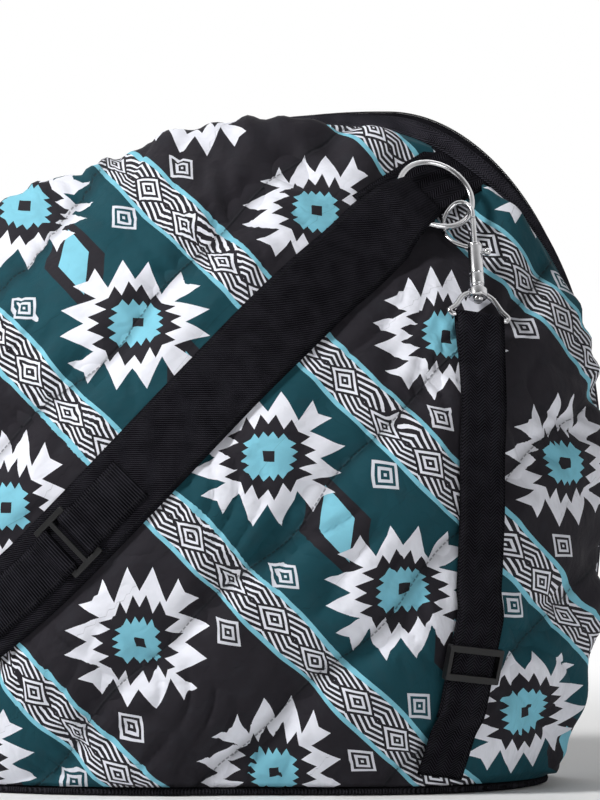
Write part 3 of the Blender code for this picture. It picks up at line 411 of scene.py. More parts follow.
def capped(grid):
    """A wrapped grid whose first and last rows close onto poles."""
    rows, sides = grid.shape[:2]
    points = np.concatenate([grid.reshape(-1, 3), grid[:1].mean(1), grid[-1:].mean(1)])
    ring = np.arange(sides)
    after, pole, base = np.roll(ring, -1), np.full(sides, rows * sides), (rows - 1) * sides
    first = np.stack([ring, after, pole, pole], -1)
    last = np.stack([after + base, ring + base, pole + 1, pole + 1], -1)
    return points, np.concatenate([grid_quads(rows, sides, True), first, last])[:, ::-1]


def lathe(profile, sides=48):
    """Profile (r, z) carried round the local Z axis: (r cos v, r sin v, z), from its low end to its high one."""
    r, z = np.asarray(profile, float).T[..., None]
    v = np.arange(sides) / sides * 2 * math.pi
    points, quads = capped(np.stack([r * np.cos(v), r * np.sin(v), z + 0 * v], -1))
    return points, quads[:, ::-1]


def block(low, high):
    """Rounded box: signed powers of a sphere's sines and cosines, scaled to the box."""
    count, power = 20, 0.22
    u = np.linspace(0.001, math.pi - 0.001, count)[:, None]
    v = np.arange(2 * count) / (2 * count) * 2 * math.pi
    sin_u, cos_u, sin_v, cos_v = (np.sign(x) * np.abs(x) ** power for x in (np.sin(u), np.cos(u), np.sin(v), np.cos(v)))
    unit_box = np.stack([sin_u * cos_v, sin_u * sin_v, cos_u + 0 * v], -1)
    low, high = np.asarray(low, float), np.asarray(high, float)
    return capped((low + high) / 2 + unit_box * (high - low) / 2)


def hardware(name, place, shapes, side, finish, body, node):
    """Rigid piece from shapes (points, faces) that are drawn in a frame (origin, X, Y, Z)."""
    starts = np.cumsum([0] + [len(points) for points, _ in shapes[:-1]])
    points = np.concatenate([points for points, _ in shapes])
    quads = np.concatenate([quads + start for (_, quads), start in zip(shapes, starts)])
    if np.linalg.det(np.array(place[1:])) < 0:
        quads = quads[:, ::-1]
    make_mesh(name, place[0] + points @ np.array(place[1:]), quads, points, side, finish, finish, body, node)


# Shader maths


class Value:
    """A socket that can be used in sums: each operator adds the Math node that works it out."""

    def __init__(self, tree, socket):
        self.tree, self.socket = tree, socket

    def math(self, operation, *others):
        return add_node(self.tree, "ShaderNodeMath", {"operation": operation}, dict(enumerate((self, *others))))

    __add__ = __radd__ = partialmethod(math, "ADD")
    __sub__ = partialmethod(math, "SUBTRACT")
    __mul__ = __rmul__ = partialmethod(math, "MULTIPLY")
    __truediv__ = partialmethod(math, "DIVIDE")
    __lt__ = partialmethod(math, "LESS_THAN")
    __abs__ = partialmethod(math, "ABSOLUTE")
    smaller = partialmethod(math, "MINIMUM")
    larger = partialmethod(math, "MAXIMUM")
    sine = partialmethod(math, "SINE")

    def __rsub__(self, other):
        return (self * -1.0) + other

    def wave(self, pitch):
        """Triangle wave from 0 to 1 and back over one pitch."""
        return (self / pitch).math("PINGPONG", 0.5) * 2.0

    def ripple(self, pitch):
        """Sine wave of the given pitch."""
        return (self * (2 * math.pi / pitch)).sine()

    def centred(self, pitch):
        """Distance from the middle of the cell of width pitch that the value falls in."""
        return self.math("FLOORED_MODULO", pitch) - pitch / 2

    def soft(self, low, high):
        """0 below low and 1 above high, with a smooth rise between them."""
        return add_node(self.tree, "ShaderNodeMapRange", {"interpolation_type": "SMOOTHSTEP"},
                        {0: self, 1: low, 2: high})

    def split(self):
        """The three parts of a vector."""
        parts = add_node(self.tree, "ShaderNodeSeparateXYZ", inputs={0: self}).socket.node
        return [Value(self.tree, out) for out in parts.outputs]


def add_node(tree, kind, settings=None, inputs=None, output=0):
    """A node, with its settings made first and its sockets filled by name or number."""
    node = tree.nodes.new(kind)
    for key, given in (settings or {}).items():
        setattr(node, key, given)
    for key, given in (inputs or {}).items():
        put(tree, node.inputs[key], given)
    return Value(tree, node.outputs[output])


def put(tree, slot, given):
    """Give a node's input a link, a number or a colour."""
    if isinstance(given, Value):
        tree.links.new(given.socket, slot)
    elif hasattr(given, "__len__"):
        slot.default_value = (*given, 1.0)[:len(slot.default_value)]
    else:
        slot.default_value = given


class Finish:
    """A material under construction."""

    def __init__(self, name):
        self.material = bpy.data.materials.new(name)
        self.material.use_nodes = True
        self.tree = self.material.node_tree
        self.shader = self.tree.nodes["Principled BSDF"]

    def node(self, kind, settings=None, inputs=None, output=0):
        return add_node(self.tree, kind, settings, inputs, output)

    def lay(self, name="lay"):
        """A point attribute and its three values: along, across and the third."""
        vector = self.node("ShaderNodeAttribute", {"attribute_name": name}, output=1)
        return vector, *vector.split()

    def place(self):
        """Object coordinates, which here are the frame's own metres."""
        return self.node("ShaderNodeTexCoord", output=3)

    def noise(self, vector, scale, detail=2.0):
        return self.node("ShaderNodeTexNoise", inputs={"Vector": vector, "Scale": scale, "Detail": detail})

    def mix(self, share, first, second):
        """Colour between two, by a share."""
        return self.node("ShaderNodeMix", {"data_type": "RGBA"}, {0: share, 6: first, 7: second}, 2)

    def set(self, **given):
        for name, value in given.items():
            put(self.tree, self.shader.inputs[name.replace("_", " ")], value)

    def bump(self, height, distance):
        self.set(Normal=self.node("ShaderNodeBump", inputs={"Height": height, "Distance": distance, "Strength": 1.0}))


def printed_cloth():
    """Polyester canvas with slanting stripes, serrated diamonds and a chain of concentric rhombi."""
    cloth = bpy.context.scene.bag_cloth
    teal, charcoal, chalk, turquoise = map(tuple, (cloth.teal, cloth.charcoal, cloth.chalk, cloth.turquoise))
    repeat, pitch = cloth.repeat, cloth.motif
    teal_half, phase, size = 0.082, 0.023, 0.056
    f = Finish("printed_cloth")
    vector, u, v, _ = f.lay()
    _, channel, stitch_run, _ = f.lay("quilt")
    # Across the stripes and along them
    wobble = (f.noise(vector, 14.0) - 0.5) * 0.0030
    w, t = (u + v) * HALF_ROOT + wobble, (u - v) * HALF_ROOT + wobble
    cell = (w - 0.0045 + repeat / 2).centred(repeat)
    away = abs(cell)
    inside_teal = away < teal_half
    outside_teal = 1.0 - inside_teal
    colour = f.mix(inside_teal, charcoal, teal)
    # Bars that join the diamonds of the wide stripes
    between = (t + phase).centred(pitch)
    slant = abs(between + cell * 0.9)
    for half_w, half_t, ink in ((0.021, 0.034, charcoal), (0.0125, 0.0165, turquoise)):
        colour = f.mix((away < half_w) * (slant < half_t) * inside_teal, colour, ink)
    # Serrated squares along u and v, a little wider than high: a half width grows by a saw on each side
    for dw, dt, mask in ((cell, (t + phase + pitch / 2).centred(pitch), inside_teal),
                         (away - repeat / 2, (t - 0.008 + pitch / 2).centred(pitch), outside_teal)):
        du, dv = abs((dw + dt) * 0.60), abs((dw - dt) * 0.69)
        far, near = du.larger(dv), du.smaller(dv)
        for half, saw, depth, cut, ink in ((0.60, 0.33, 0.34, 0.40, chalk), (0.42, 0.17, 0.17, 0.42, charcoal),
                                           (0.25, 0.11, 0.08, 0.22, turquoise)):
            step = far < size * half + near.wave(size * saw) * size * depth - near * cut
            colour = f.mix(step * mask, colour, ink)
        colour = f.mix((far < size * 0.070) * mask, colour, charcoal)
    # Small concentric diamonds between the large ones
    for centre, mask in ((0.052, inside_teal), (0.114, outside_teal)):
        reach = abs(between) * 0.8 + abs(away - centre)
        rings = (reach.wave(0.0052) < 0.52) * (reach < 0.0130)
        colour = f.mix(rings * mask * 0.85, colour, chalk)
    # Chain of concentric rhombi with hatched corners, between two rails
    band = abs(away - teal_half)
    link = abs(t.centred(0.044))
    reach = link * 0.66 + band
    in_rhomb = reach < 0.0125
    hatch = (link * 0.35 - band).wave(0.0042) < 0.42
    lines = in_rhomb * (reach.wave(0.0046) < 0.5) + (1.0 - in_rhomb) * hatch
    strip = band < 0.0150
    for mask, ink in ((strip, charcoal), (strip * lines, chalk), (abs(band - 0.0168) < 0.0018, turquoise)):
        colour = f.mix(mask, colour, ink)
    # Shade in the seams, sewing thread, soil and weave
    colour = f.mix((1.0 - abs(channel).soft(0.0, 0.008)) * 0.32, colour, (0.006, 0.007, 0.009))
    thread = (abs(channel) < 0.0006) * (stitch_run.wave(0.0040) < 0.66)
    colour = f.mix(thread * 0.55, colour, (0.010, 0.012, 0.014))
    soil = f.noise(vector, 60.0, 4.0)
    crumple = abs(f.noise(vector, 26.0, 3.0) - 0.5)
    colour = f.mix(soil.soft(0.45, 0.75) * 0.10, colour, (0.05, 0.06, 0.07))
    weave = u.ripple(0.0009) * v.ripple(0.0009)
    dent = abs(channel).soft(0.0, 0.0016)
    f.set(Base_Color=colour, Roughness=0.60 + soil * 0.22, Specular_IOR_Level=0.12)
    f.bump(weave * 0.02 + soil * 0.2 + dent * 0.2 + crumple * 1.6, 0.0030)
    return f.material


def woven(name, colour, style):
    """Black webbing: herringbone, twill or cross ribs, with a rolled and stitched edge, and painted light and shade on
    its ribs.
    """
    f = Finish(name)
    rib = bpy.context.scene.bag_trim.rib
    vector, along, across, half = f.lay()
    if style == "herringbone":
        weave = (along + across.wave(0.0120) * 0.0060).ripple(rib)
    elif style == "ribs":
        weave = along.ripple(0.0021)
    else:
        weave = (along + across * 0.9).ripple(rib * 0.8)
    yarn = across.ripple(0.0011)
    fuzz = f.noise(vector, 900.0, 2.0)
    rim = half - abs(across)
    stitch = (abs(rim - 0.0040) < 0.0005) * (along.wave(0.0046) < 0.68)
    # Painted light and shade: the tops of the weave's ribs are painted lighter and the hollows darker, from a fifth to
    # five times the colour; fuzz and wear add tone at random
    lit = weave.soft(-0.7, 1.0)
    wear = f.noise(vector, 70.0, 3.0).soft(0.25, 0.75) - 0.42
    share = (lit * 0.70 + fuzz * 0.2 + wear * 0.24).larger(0.0)
    tone = f.mix(share, tuple(c * 0.2 for c in colour), tuple(c * 5.0 for c in colour))
    worn = (1.0 - rim.soft(0.0002, 0.0016)) * fuzz.soft(0.4, 0.8)
    tone = f.mix(worn * 0.5, tone, (0.045, 0.045, 0.048))
    tone = f.mix(stitch, tone, (0.018, 0.018, 0.020))
    f.set(Base_Color=tone, Roughness=0.66 + fuzz * 0.2, Specular_IOR_Level=0.0)
    f.bump(lit * 0.75 + yarn * 0.12 + fuzz * 0.2 + stitch * 0.6, 0.0009)
    return f.material


def plated(name, colour, roughness):
    """Polished plating with faint handling marks."""
    f = Finish(name)
    place = f.place()
    marks = f.noise(place, 420.0, 3.0)
    cloud = f.noise(place, 90.0, 2.0).soft(0.35, 0.75) * 0.25
    f.set(Base_Color=f.mix(cloud, colour, tuple(c * 0.72 for c in colour)), Metallic=1.0,
          Roughness=roughness + marks.soft(0.5, 0.9) * 0.12)
    f.bump(marks, 0.00002)
    return f.material


def moulded(name, colour, roughness, gloss=0.42):
    """Moulded plastic with a fine grain and paler scuffs in random patches."""
    f = Finish(name)
    place = f.place()
    grain = f.noise(place, 2600.0, 2.0)
    scuff = f.noise(place, 160.0, 4.0)
    f.set(Base_Color=f.mix(scuff.soft(0.55, 0.8) * 0.35, colour, (0.016, 0.016, 0.017)),
          Roughness=roughness + scuff * 0.12, Specular_IOR_Level=gloss)
    f.bump(grain * 0.4 + scuff * 0.2, 0.0002)
    return f.material


FINISHES = {}


def finish_of(name):
    """Material by name, made when it is first asked for."""
    trim = bpy.context.scene.bag_trim
    black = tuple(trim.webbing)
    makers = {
        "cloth": (printed_cloth,),
        "twill": (woven, "twill_webbing", black, "twill"),
        "herringbone": (woven, "herringbone_webbing", black, "herringbone"),
        "band": (woven, "zip_webbing", tuple(c * 2.4 for c in black), "herringbone"),
        "ribs": (woven, "ribbed_webbing", black, "ribs"),
        "nickel": (plated, "nickel_plate", tuple(trim.nickel), 0.16),
        "gunmetal": (plated, "gunmetal_plate", (0.10, 0.10, 0.11), 0.28),
        "plastic": (moulded, "black_plastic", tuple(trim.plastic), 0.26),
        "coil": (moulded, "coil_plastic", (0.012, 0.012, 0.013), 0.6, 0.0),
    }
    if name not in FINISHES:
        maker, *given = makers[name]
        FINISHES[name] = maker(*given)
    return FINISHES[name]


# Panels

# Quilted seams, across the slant, and how far they are drawn in
CHANNELS = (-0.0855, 0.0110, 0.1075, 0.2040, 0.3005, 0.3970)
HALF_ROOT = 0.70711
DRAWN_IN = 0.0050
# Creases: start x, z and end x, z in the centre plane, half width and depth
CREASES = np.array([
    (0.030, 0.508, 0.086, 0.452, 0.0100, 0.0075), (0.052, 0.500, 0.060, 0.455, 0.0070, 0.0040),
    (0.086, 0.520, 0.090, 0.470, 0.0080, 0.0040), (-0.010, 0.500, 0.040, 0.480, 0.0090, 0.0035),
    (0.120, 0.395, 0.135, 0.300, 0.0110, 0.0035), (0.215, 0.360, 0.175, 0.300, 0.0090, 0.0035),
    (0.262, 0.300, 0.215, 0.280, 0.0080, 0.0030), (0.275, 0.215, 0.225, 0.235, 0.0090, 0.0035),
    (0.262, 0.120, 0.215, 0.170, 0.0090, 0.0040), (-0.240, 0.330, -0.190, 0.300, 0.0100, 0.0030),
    (-0.262, 0.180, -0.205, 0.215, 0.0110, 0.0040), (-0.120, 0.470, -0.080, 0.420, 0.0090, 0.0035),
    (-0.200, 0.070, -0.150, 0.120, 0.0110, 0.0035), (0.040, 0.060, 0.060, 0.120, 0.0120, 0.0040),
    (0.190, 0.440, 0.225, 0.385, 0.0080, 0.0030)])


def channel_offset(a, b):
    """Signed distance b - b_k from the nearest quilted seam, whose line wavers a little along a, and its k."""
    waver = 0.004 * np.sin(a * 23.0 + 0.7) + 0.003 * np.sin(a * 51.0 + 2.0)
    gap = (b - waver)[..., None] - np.array(CHANNELS)
    nearest = np.abs(gap).argmin(-1)
    return np.take_along_axis(gap, nearest[..., None], -1)[..., 0], nearest


def panel_relief(x, z, seam, rim_run):
    """Height of the cloth over the frame's form: padding between seams, puckers, folds and a puffed rim."""
    puff = bpy.context.scene.bag_cloth.puff
    a, b = (x + z) * HALF_ROOT, (z - x) * HALF_ROOT
    d, nearest = channel_offset(a, b)
    height = puff * (1 - np.exp(-((d / 0.015) ** 2))) - DRAWN_IN
    height += 0.0017 * np.sin(a * 330 + 5 * np.sin(a * 31 + nearest)) * np.exp(-((np.abs(d) / 0.017) ** 2))
    height += 0.0020 * np.sin(a * 47 + 3 * np.sin(b * 29)) * np.sin(b * 61 + 2 * np.sin(a * 23))
    slack = np.sin(x * 118 + 2.6 * np.sin(z * 41 + 1.3) + 1.7 * np.sin(x * 37)) * np.sin(z * 33 + 2 * np.sin(x * 29))
    height -= 0.0042 * np.exp(-np.abs(slack) * 4.0) * smooth_step(0.5 + np.sin(x * 19 + z * 31 + 0.6))
    start, run = CREASES[:, 0:2], CREASES[:, 2:4] - CREASES[:, 0:2]
    to = np.stack([x, z], -1)[..., None, :] - start
    share = np.clip((to * run).sum(-1) / (run**2).sum(-1), 0, 1)
    off = np.linalg.norm(to - share[..., None] * run, axis=-1)
    fade = np.sin(math.pi * np.clip(share, 0.04, 0.96))
    height -= (CREASES[:, 5] * fade * np.exp(-((off / CREASES[:, 4]) ** 2))).sum(-1)
    ripple = np.sin(rim_run * (2 * math.pi / 0.034) + 2.2 * np.sin(rim_run * 37.0))
    height += 0.0026 * ripple * np.exp(-seam / 0.026) * smooth_step(seam / 0.008)
    angle = np.arctan2(z - BELLY_Z, x - HEART_X)
    behind = smooth_step((angle - math.radians(66)) / math.radians(12)) * (angle < math.radians(170))
    height += (0.0060 - 0.0040 * ridge_share(angle) + 0.0050 * behind) * (seam / 0.013) * np.exp(1 - seam / 0.013)
    return height * smooth_step(seam / 0.009), d, a


def pressed(points, height):
    """Cloth pressed flat under the straps and round the ring and snap, and dented behind the snap."""
    def lowered(share):
        return np.where(height > 0, height * share, height)

    for route, width in ((CARRY, 0.060), (SLING, 0.038)):
        gap = np.full(points.shape[:2], 1e9)
        for piece in np.array_split(route, max(1, len(route) // 12)):
            gap = np.minimum(gap, np.linalg.norm(points[:, :, None] - piece, axis=-1).min(-1))
        height = lowered(smooth_step((gap - width / 2 - 0.002) / 0.016))
    ring_reach, cleared, fade, dent = 0.022, 0.020, 0.016, 0.0024
    near = np.linalg.norm(points - RING_ORIGIN, axis=-1) - ring_reach
    for level in np.linspace(0, BARREL_L + HOOK_H, 9):
        part = SNAP[0] + SNAP[3] * level + SNAP[1] * HOOK_REACH / 2 * (level > BARREL_L)
        near = np.minimum(near, np.linalg.norm(points - part, axis=-1))
    height = lowered(smooth_step((near - cleared) / fade))
    return height - dent * (1 - smooth_step((near - 0.012) / 0.018)) * smooth_step(1 + height / 0.004)


def meridian_lay(x, z):
    """Print coordinates: the angle from the heart with a radius r + 0.6 (L - r), L the length over the swell."""
    angle, share, swell, edge = polar(x, z)
    radius = outline_radius(angle) * share
    steps = np.linspace(0, 1, 40)
    length = np.zeros_like(x)
    before = np.full_like(x, HALF_DEPTH)
    for k in steps[1:]:
        depth = HALF_DEPTH * np.clip(1 - (share * k) ** swell, 0, None) ** (1 / edge)
        length += np.hypot(radius / (len(steps) - 1), before - depth)
        before = depth
    reach = radius + 0.6 * (length - radius)
    return reach * np.cos(angle), reach * np.sin(angle)


def gathered(x, z, height):
    """Shift of the print on sloping cloth: 2.4 mm times the height's gradient, held within half that."""
    (x_r, x_c), (z_r, z_c), (h_r, h_c) = (np.gradient(a) for a in (x, z, height))
    area = x_r * z_c - x_c * z_r
    area = np.where(np.abs(area) < 1e-9, 1e-9, area)
    return (np.clip(across / area, -0.5, 0.5) * 0.0024 for across in (h_r * z_c - h_c * z_r, h_c * x_r - h_r * x_c))


def panel_grid(rows, columns):
    """Columns at even runs of the rim and rows from the zip seam down to the base seam."""
    angles = even_angles(rim_angle(FOOT, True), rim_angle(FOOT, False), columns)
    top = band_point(angles, -(seam_y(angles) + 0.0006))
    top[:, 2] = np.maximum(top[:, 2], FOOT)
    foot_x = np.linspace(top[0, 0], top[-1, 0], columns)
    share = (np.linspace(0, 1, rows) ** 1.45)[None]
    x = top[:, None, 0] * (1 - share) + foot_x[:, None] * share
    z = top[:, None, 2] * (1 - share) + FOOT * share
    points = np.stack([x, -depth_at(x, z), z], -1)
    points[:, 0] = top
    return points


def make_panel(side):
    """Padded panel: the frame's form lifted by panel_relief, with a wall of 5 mm behind it."""
    points = panel_grid(150, 300)
    x, z = points[..., 0], points[..., 2]
    seam = np.linalg.norm(points - points[:, :1], axis=-1)
    rim_run = arc_run(points[:, 0])[:, None] + np.zeros(points.shape[1])
    height, channel, run = panel_relief(x, z, seam, rim_run)
    height = pressed(points, height) * smooth_step((z - FOOT) / 0.008)
    u, v = meridian_lay(x, z)
    jog = 0.0012 * np.tanh(channel / 0.003) * np.exp(-((channel / 0.020) ** 2))
    gather = 0.0026 * np.sin(run * 95 + 3 * np.sin(run * 21)) * np.exp(-((channel / 0.024) ** 2))
    fold_u, fold_v = gathered(x, z, height)
    u, v = u - jog + gather - fold_u, v + jog + gather - fold_v
    border = np.zeros(points.shape[:2])
    border[1:-1, 1:-1] = 1
    body, quads = slab(points, height * border, 0.005 * rounded(*points.shape[:2], 40), outward(points))
    lay = np.stack([-u if side == "left" else u, v, seam], -1).reshape(-1, 3)
    quilt = np.stack([channel, run, 0 * run], -1).reshape(-1, 3)
    obj = make_mesh(f"padded_panel_{side}", body, quads, np.concatenate([lay, lay]), side, "cloth",
                    "cloth", "bag", f"side_panel_{side}", np.concatenate([quilt, quilt]))


# Straps


def carry_route():
    """Middle line of the wide strap on the panel, from the rear seam up to the ring."""
    laid = on_panel([(-0.222, 0.098), (-0.185, 0.126), (-0.1425, 0.162), (-0.104, 0.200), (-0.052, 0.254),
                     (0.013, 0.322), (0.073, 0.382), (0.098, 0.404)])
    rear = [(-0.2730, -0.0430, 0.0640), (-0.2640, -0.0700, 0.0720), (-0.2470, -0.0980, 0.0820)]
    near = [RING_ORIGIN + LEAD * d for d in (0.062, 0.040, 0.010 + (OVER_LIFT - UNDER_LIFT) / 2)]
    return smooth_path(settle(np.array([*rear, *laid, *near])), ROUTE_STEP)


def sling_route():
    """Middle line of the narrow strap between its two layers, from the base up to the eye's bar."""
    laid = on_panel([(0.166, 0.014), (0.175, 0.045), (0.1885, 0.1010), (0.194, 0.150), (0.1968, 0.213),
                     (0.1970, 0.255), (0.1985, 0.300)])
    return smooth_path([*(laid + outward(laid) * (SEAT + WEB_T + LAYER_GAP / 2)), EYE_BAR], ROUTE_STEP)


CARRY = carry_route()
SLING = sling_route()


def strap_rows(route, width, lift, across_points=11):
    """Rows of points across a strap on the bag, each lifted off its surface."""
    ahead = unit(np.gradient(route, axis=0))
    sideways = unit(np.cross(outward(route), ahead))
    side = np.linspace(-0.5, 0.5, across_points)
    rows = route[:, None] + side[None, :, None] * np.asarray(width)[..., None, None] * sideways[:, None]
    return settle(rows, np.broadcast_to(np.asarray(lift)[..., None], rows.shape[:2]))


def carry_rows():
    """Grid of the wide strap: along the panel, over the ring's wire, round through the ring and back."""
    fold_w, tip, flat_end, drape = 0.039, 0.010, 0.034, 0.062
    side = np.linspace(-0.5, 0.5, 15)
    origin = RING_ORIGIN + ACROSS * -0.0040

    def level(ahead, width, lift):
        return (origin + ahead[:, None, None] * LEAD + lift * RING_NORMAL
                + (side * width[:, None])[..., None] * -ACROSS)

    def wide(run):
        return np.interp(run, [tip, 0.060], [fold_w, 0.060])

    def hold(run):
        return smooth_step((drape - run) / (drape - flat_end))[:, None, None]

    ahead = (CARRY - RING_ORIGIN) @ LEAD
    near = ahead + 1e9 * (np.arange(len(CARRY)) < len(CARRY) / 2)
    lift = np.interp(near, [0.036, 0.050, 0.058, 0.080], [OVER_LIFT, STACK_LIFT, STACK_LIFT, SEAT + CARRY_T / 2])
    flat = level(ahead, wide(near), lift[:, None, None])
    over = strap_rows(CARRY, wide(near), lift, 15) * (1 - hold(near)) + flat * hold(near)
    fold_r = (OVER_LIFT - UNDER_LIFT) / 2
    turn = np.linspace(0, math.pi, 14)[1:-1]
    fold = level(tip + fold_r - fold_r * np.sin(turn), fold_w + 0 * turn,
                 ((OVER_LIFT + UNDER_LIFT) / 2 + fold_r * np.cos(turn))[:, None, None])
    back = np.linspace(tip + fold_r, 0.052, 12)
    under = (settle(level(back, wide(back), 0.0), UNDER_LIFT) * (1 - hold(back))
             + level(back, wide(back), UNDER_LIFT) * hold(back))
    return np.concatenate([over, fold, under])


def sling_rows():
    """Grid of the narrow strap: up over the slider's core, round the eye's bar and back underneath."""
    origin, down, across, normal = GLIDE
    outer_lift, inner_lift = SEAT + 1.5 * WEB_T + LAYER_GAP, SEAT + WEB_T / 2
    normals = outward(SLING)
    ahead = unit(np.gradient(SLING, axis=0))
    sideways = unit(np.cross(ahead, normals))
    left = np.linalg.norm(SLING - EYE_BAR, axis=1)
    share = smooth_step((0.060 - left) / 0.060)[:, None]
    line = EYE_SIDE if EYE_SIDE.dot(sideways[-1]) > 0 else -EYE_SIDE
    sideways = unit(sideways * (1 - share) + line * share)
    normals = unit(np.cross(sideways, ahead))
    along = (SLING - origin) @ down
    flat_half = 0.0345
    hold = smooth_step(1 - (np.abs(along) - flat_half) / 0.022)[:, None, None]
    wrap_r = EYE_R + 0.0004 + WEB_T / 2
    spread = np.interp(left, [0.006, 0.034], [wrap_r, (outer_lift - inner_lift) / 2])
    side = (np.linspace(-0.5, 0.5, 11) * 0.038)[None, :, None]

    def layer(offset, level):
        rows = (SLING + offset[:, None] * normals)[:, None] + side * sideways[:, None]
        straight = (origin + down * along[:, None] + normal * level)[:, None] + side * across
        return rows * (1 - hold) + straight * hold

    tail = flat_half + 0.012
    outer = layer(np.interp(along, [flat_half, tail + 0.020], [1.0, -1.0]) * spread, GLIDE_LIFT)
    inner = layer(-spread, inner_lift)[along < tail]
    turn = np.linspace(0, math.pi, 12)[1:-1, None]
    out = normals[-1] * np.cos(turn) + ahead[-1] * np.sin(turn)
    fold = (EYE_BAR + wrap_r * out)[:, None] + side * sideways[-1]
    return np.concatenate([outer, fold, inner[::-1]])


def anchor_rows():
    """Grid of the flat webbing from the band's seam, under the ring, to the end of the strap's return."""
    origin = RING_ORIGIN + ACROSS * -0.012
    side = (np.linspace(-0.5, 0.5, 13) * 0.052)[:, None] * ACROSS
    back = np.linspace(0, 0.08, 81)
    trial = settle(origin - back[:, None, None] * LEAD + side)
    angle = np.arctan2(trial[..., 2] - BELLY_Z, trial[..., 0] - HEART_X)
    room = -trial[..., 1] - seam_y(angle) - 0.0012
    start = np.array([-np.interp(0, -column, back) for column in room.T])
    run = start + (0.054 - start) * np.linspace(0, 1, 44)[:, None]
    return settle(origin + run[..., None] * LEAD + side, SEAT + WEB_T / 2)[:, ::-1]


def ribbed_rows(start, stop, dip):
    """Grid of the ribbed webbing on the wide strap, which rises over a bar of the buckle at its dip."""
    marks = np.arange(start, stop + 1e-6, 0.002)
    low = SEAT + CARRY_T + LAYER_GAP + RIB_T / 2
    high = low + BUCKLE_T + 0.0006 + 0.0010
    return strap_rows(at_run(marks, CARRY), np.full(len(marks), 0.037), np.interp(marks, dip, [low, high, high, low]))


BUCKLE_AT, BUCKLE_L, BUCKLE_BAR, BUCKLE_T = 0.250, 0.030, 0.0050, 0.0026


def make_straps(side):
    """All the webbing of one side."""
    webbing(f"wide_strap_{side}", carry_rows(), CARRY_T, side, "twill", f"carry_strap_{side}")
    webbing(f"narrow_strap_{side}", sling_rows(), WEB_T, side, "herringbone", f"sling_strap_{side}")
    webbing(f"ring_tab_{side}", anchor_rows(), WEB_T, side, "herringbone", f"anchor_webbing_{side}")
    clear, slack = 0.0018, 0.0060
    bar = BUCKLE_AT + BUCKLE_L / 2 - BUCKLE_BAR
    dip = [bar - 0.0058, bar - clear, bar + BUCKLE_BAR + clear, bar + BUCKLE_BAR + slack]
    webbing(f"grosgrain_{side}", ribbed_rows(dip[0], 0.320, dip), RIB_T, side, "ribs", f"ribbed_webbing_{side}")
    bar = BUCKLE_AT - BUCKLE_L / 2
    dip = [bar - slack, bar - clear, bar + BUCKLE_BAR + clear, bar + BUCKLE_BAR + 0.0058]
    webbing(f"grosgrain_tail_{side}", ribbed_rows(0.002, dip[3], dip), RIB_T, side, "ribs", f"strap_tail_{side}")


def rim_rows(angles, ys, depth):
    """Grid along the rim: a point at each distance y from the centre plane, a depth below the form."""
    rows = np.stack([band_point(angles, -np.asarray(y) * np.ones_like(angles)) for y in ys], 1)
    normal = outward(rows)
    if depth <= 0.001:
        return rows - normal * depth
    level = normal * (1, 0, 1)
    return rows - level * (depth / (level**2).sum(-1))[..., None]


def make_zip(side):
    """Webbing band, tape and spiral coil of one side of the zip."""
    front = rim_angle(BAND_FOOT, True)
    whole = even_angles(front, rim_angle(BAND_FOOT, False), 320)
    zipped = even_angles(front, crown_angle(CROWN_ARC), 320)
    outer = seam_y(whole)
    ys = [outer + (0.0140 - outer) * k for k in np.linspace(0, 1, 12)]
    webbing(f"zip_webbing_{side}", rim_rows(whole, ys, BAND_T / 2), BAND_T, side, "band", f"zip_band_{side}")
    ys = np.linspace(0.0165, 0.0026, 8)
    webbing(f"zip_cloth_{side}", rim_rows(zipped, ys, ZIP_DEPTH), 0.0010, side, "twill", f"zip_tape_{side}")
    line = rim_rows(zipped, [0.0021], ZIP_DEPTH)[:, 0]
    pitch, length = 0.0017, arc_run(line)[-1]
    marks = np.linspace(0, length, int(length / pitch * 8))
    middle = at_run(marks, line)
    ahead = unit(np.gradient(middle, axis=0))
    phase = marks / pitch * 2 * math.pi + (math.pi if side == "left" else 0)
    coil = middle + np.cos(phase)[:, None] * 0.00105 * unit(np.cross(ahead, (0, 1, 0)))
    coil[:, 1] += 0.0004 + 0.0015 * np.sin(phase)
    v = np.arange(5)[:, None] / 5 * 2 * math.pi
    ring = np.cos(v) * unit(coil - middle)[:, None] + np.sin(v) * ahead[:, None]
    points, quads = capped(coil[:, None] + 0.00034 * ring)
    make_mesh(f"zip_spiral_{side}", points, quads[:, ::-1], points, side, "coil", "zip_teeth", "bag",
              f"zip_coil_{side}")


# Hardware


def make_ring(side):
    """Welded wire ring: a torus about the panel's normal."""
    turn = np.arange(120) / 120 * 2 * math.pi
    path = np.stack([np.cos(turn), np.sin(turn), 0 * turn], -1) * RING_R
    place = (RING_ORIGIN + RING_NORMAL * RING_LIFT, LEAD, ACROSS, RING_NORMAL)
    hardware(f"wire_ring_{side}", place, [pipe(path, (0, 0, 1), WIRE_R, 20, closed=True)], side, "nickel",
             f"ring_{side}", f"ring_{side}")


def rounded_profile(corners):
    """Profile with each corner cut by a short quadratic curve."""
    corners, radius = np.asarray(corners, float), 0.0004
    s = np.linspace(0, 1, 4)[:, None]
    made = [corners[:1]]
    for here, *others in zip(corners[1:-1], corners[:-2], corners[2:]):
        a, b = (here + (p - here) * min(0.45, radius / max(np.linalg.norm(p - here), 1e-9)) for p in others)
        made.append((1 - s) ** 2 * a + 2 * s * (1 - s) * here + s**2 * b)
    return np.concatenate([*made, corners[-1:]])


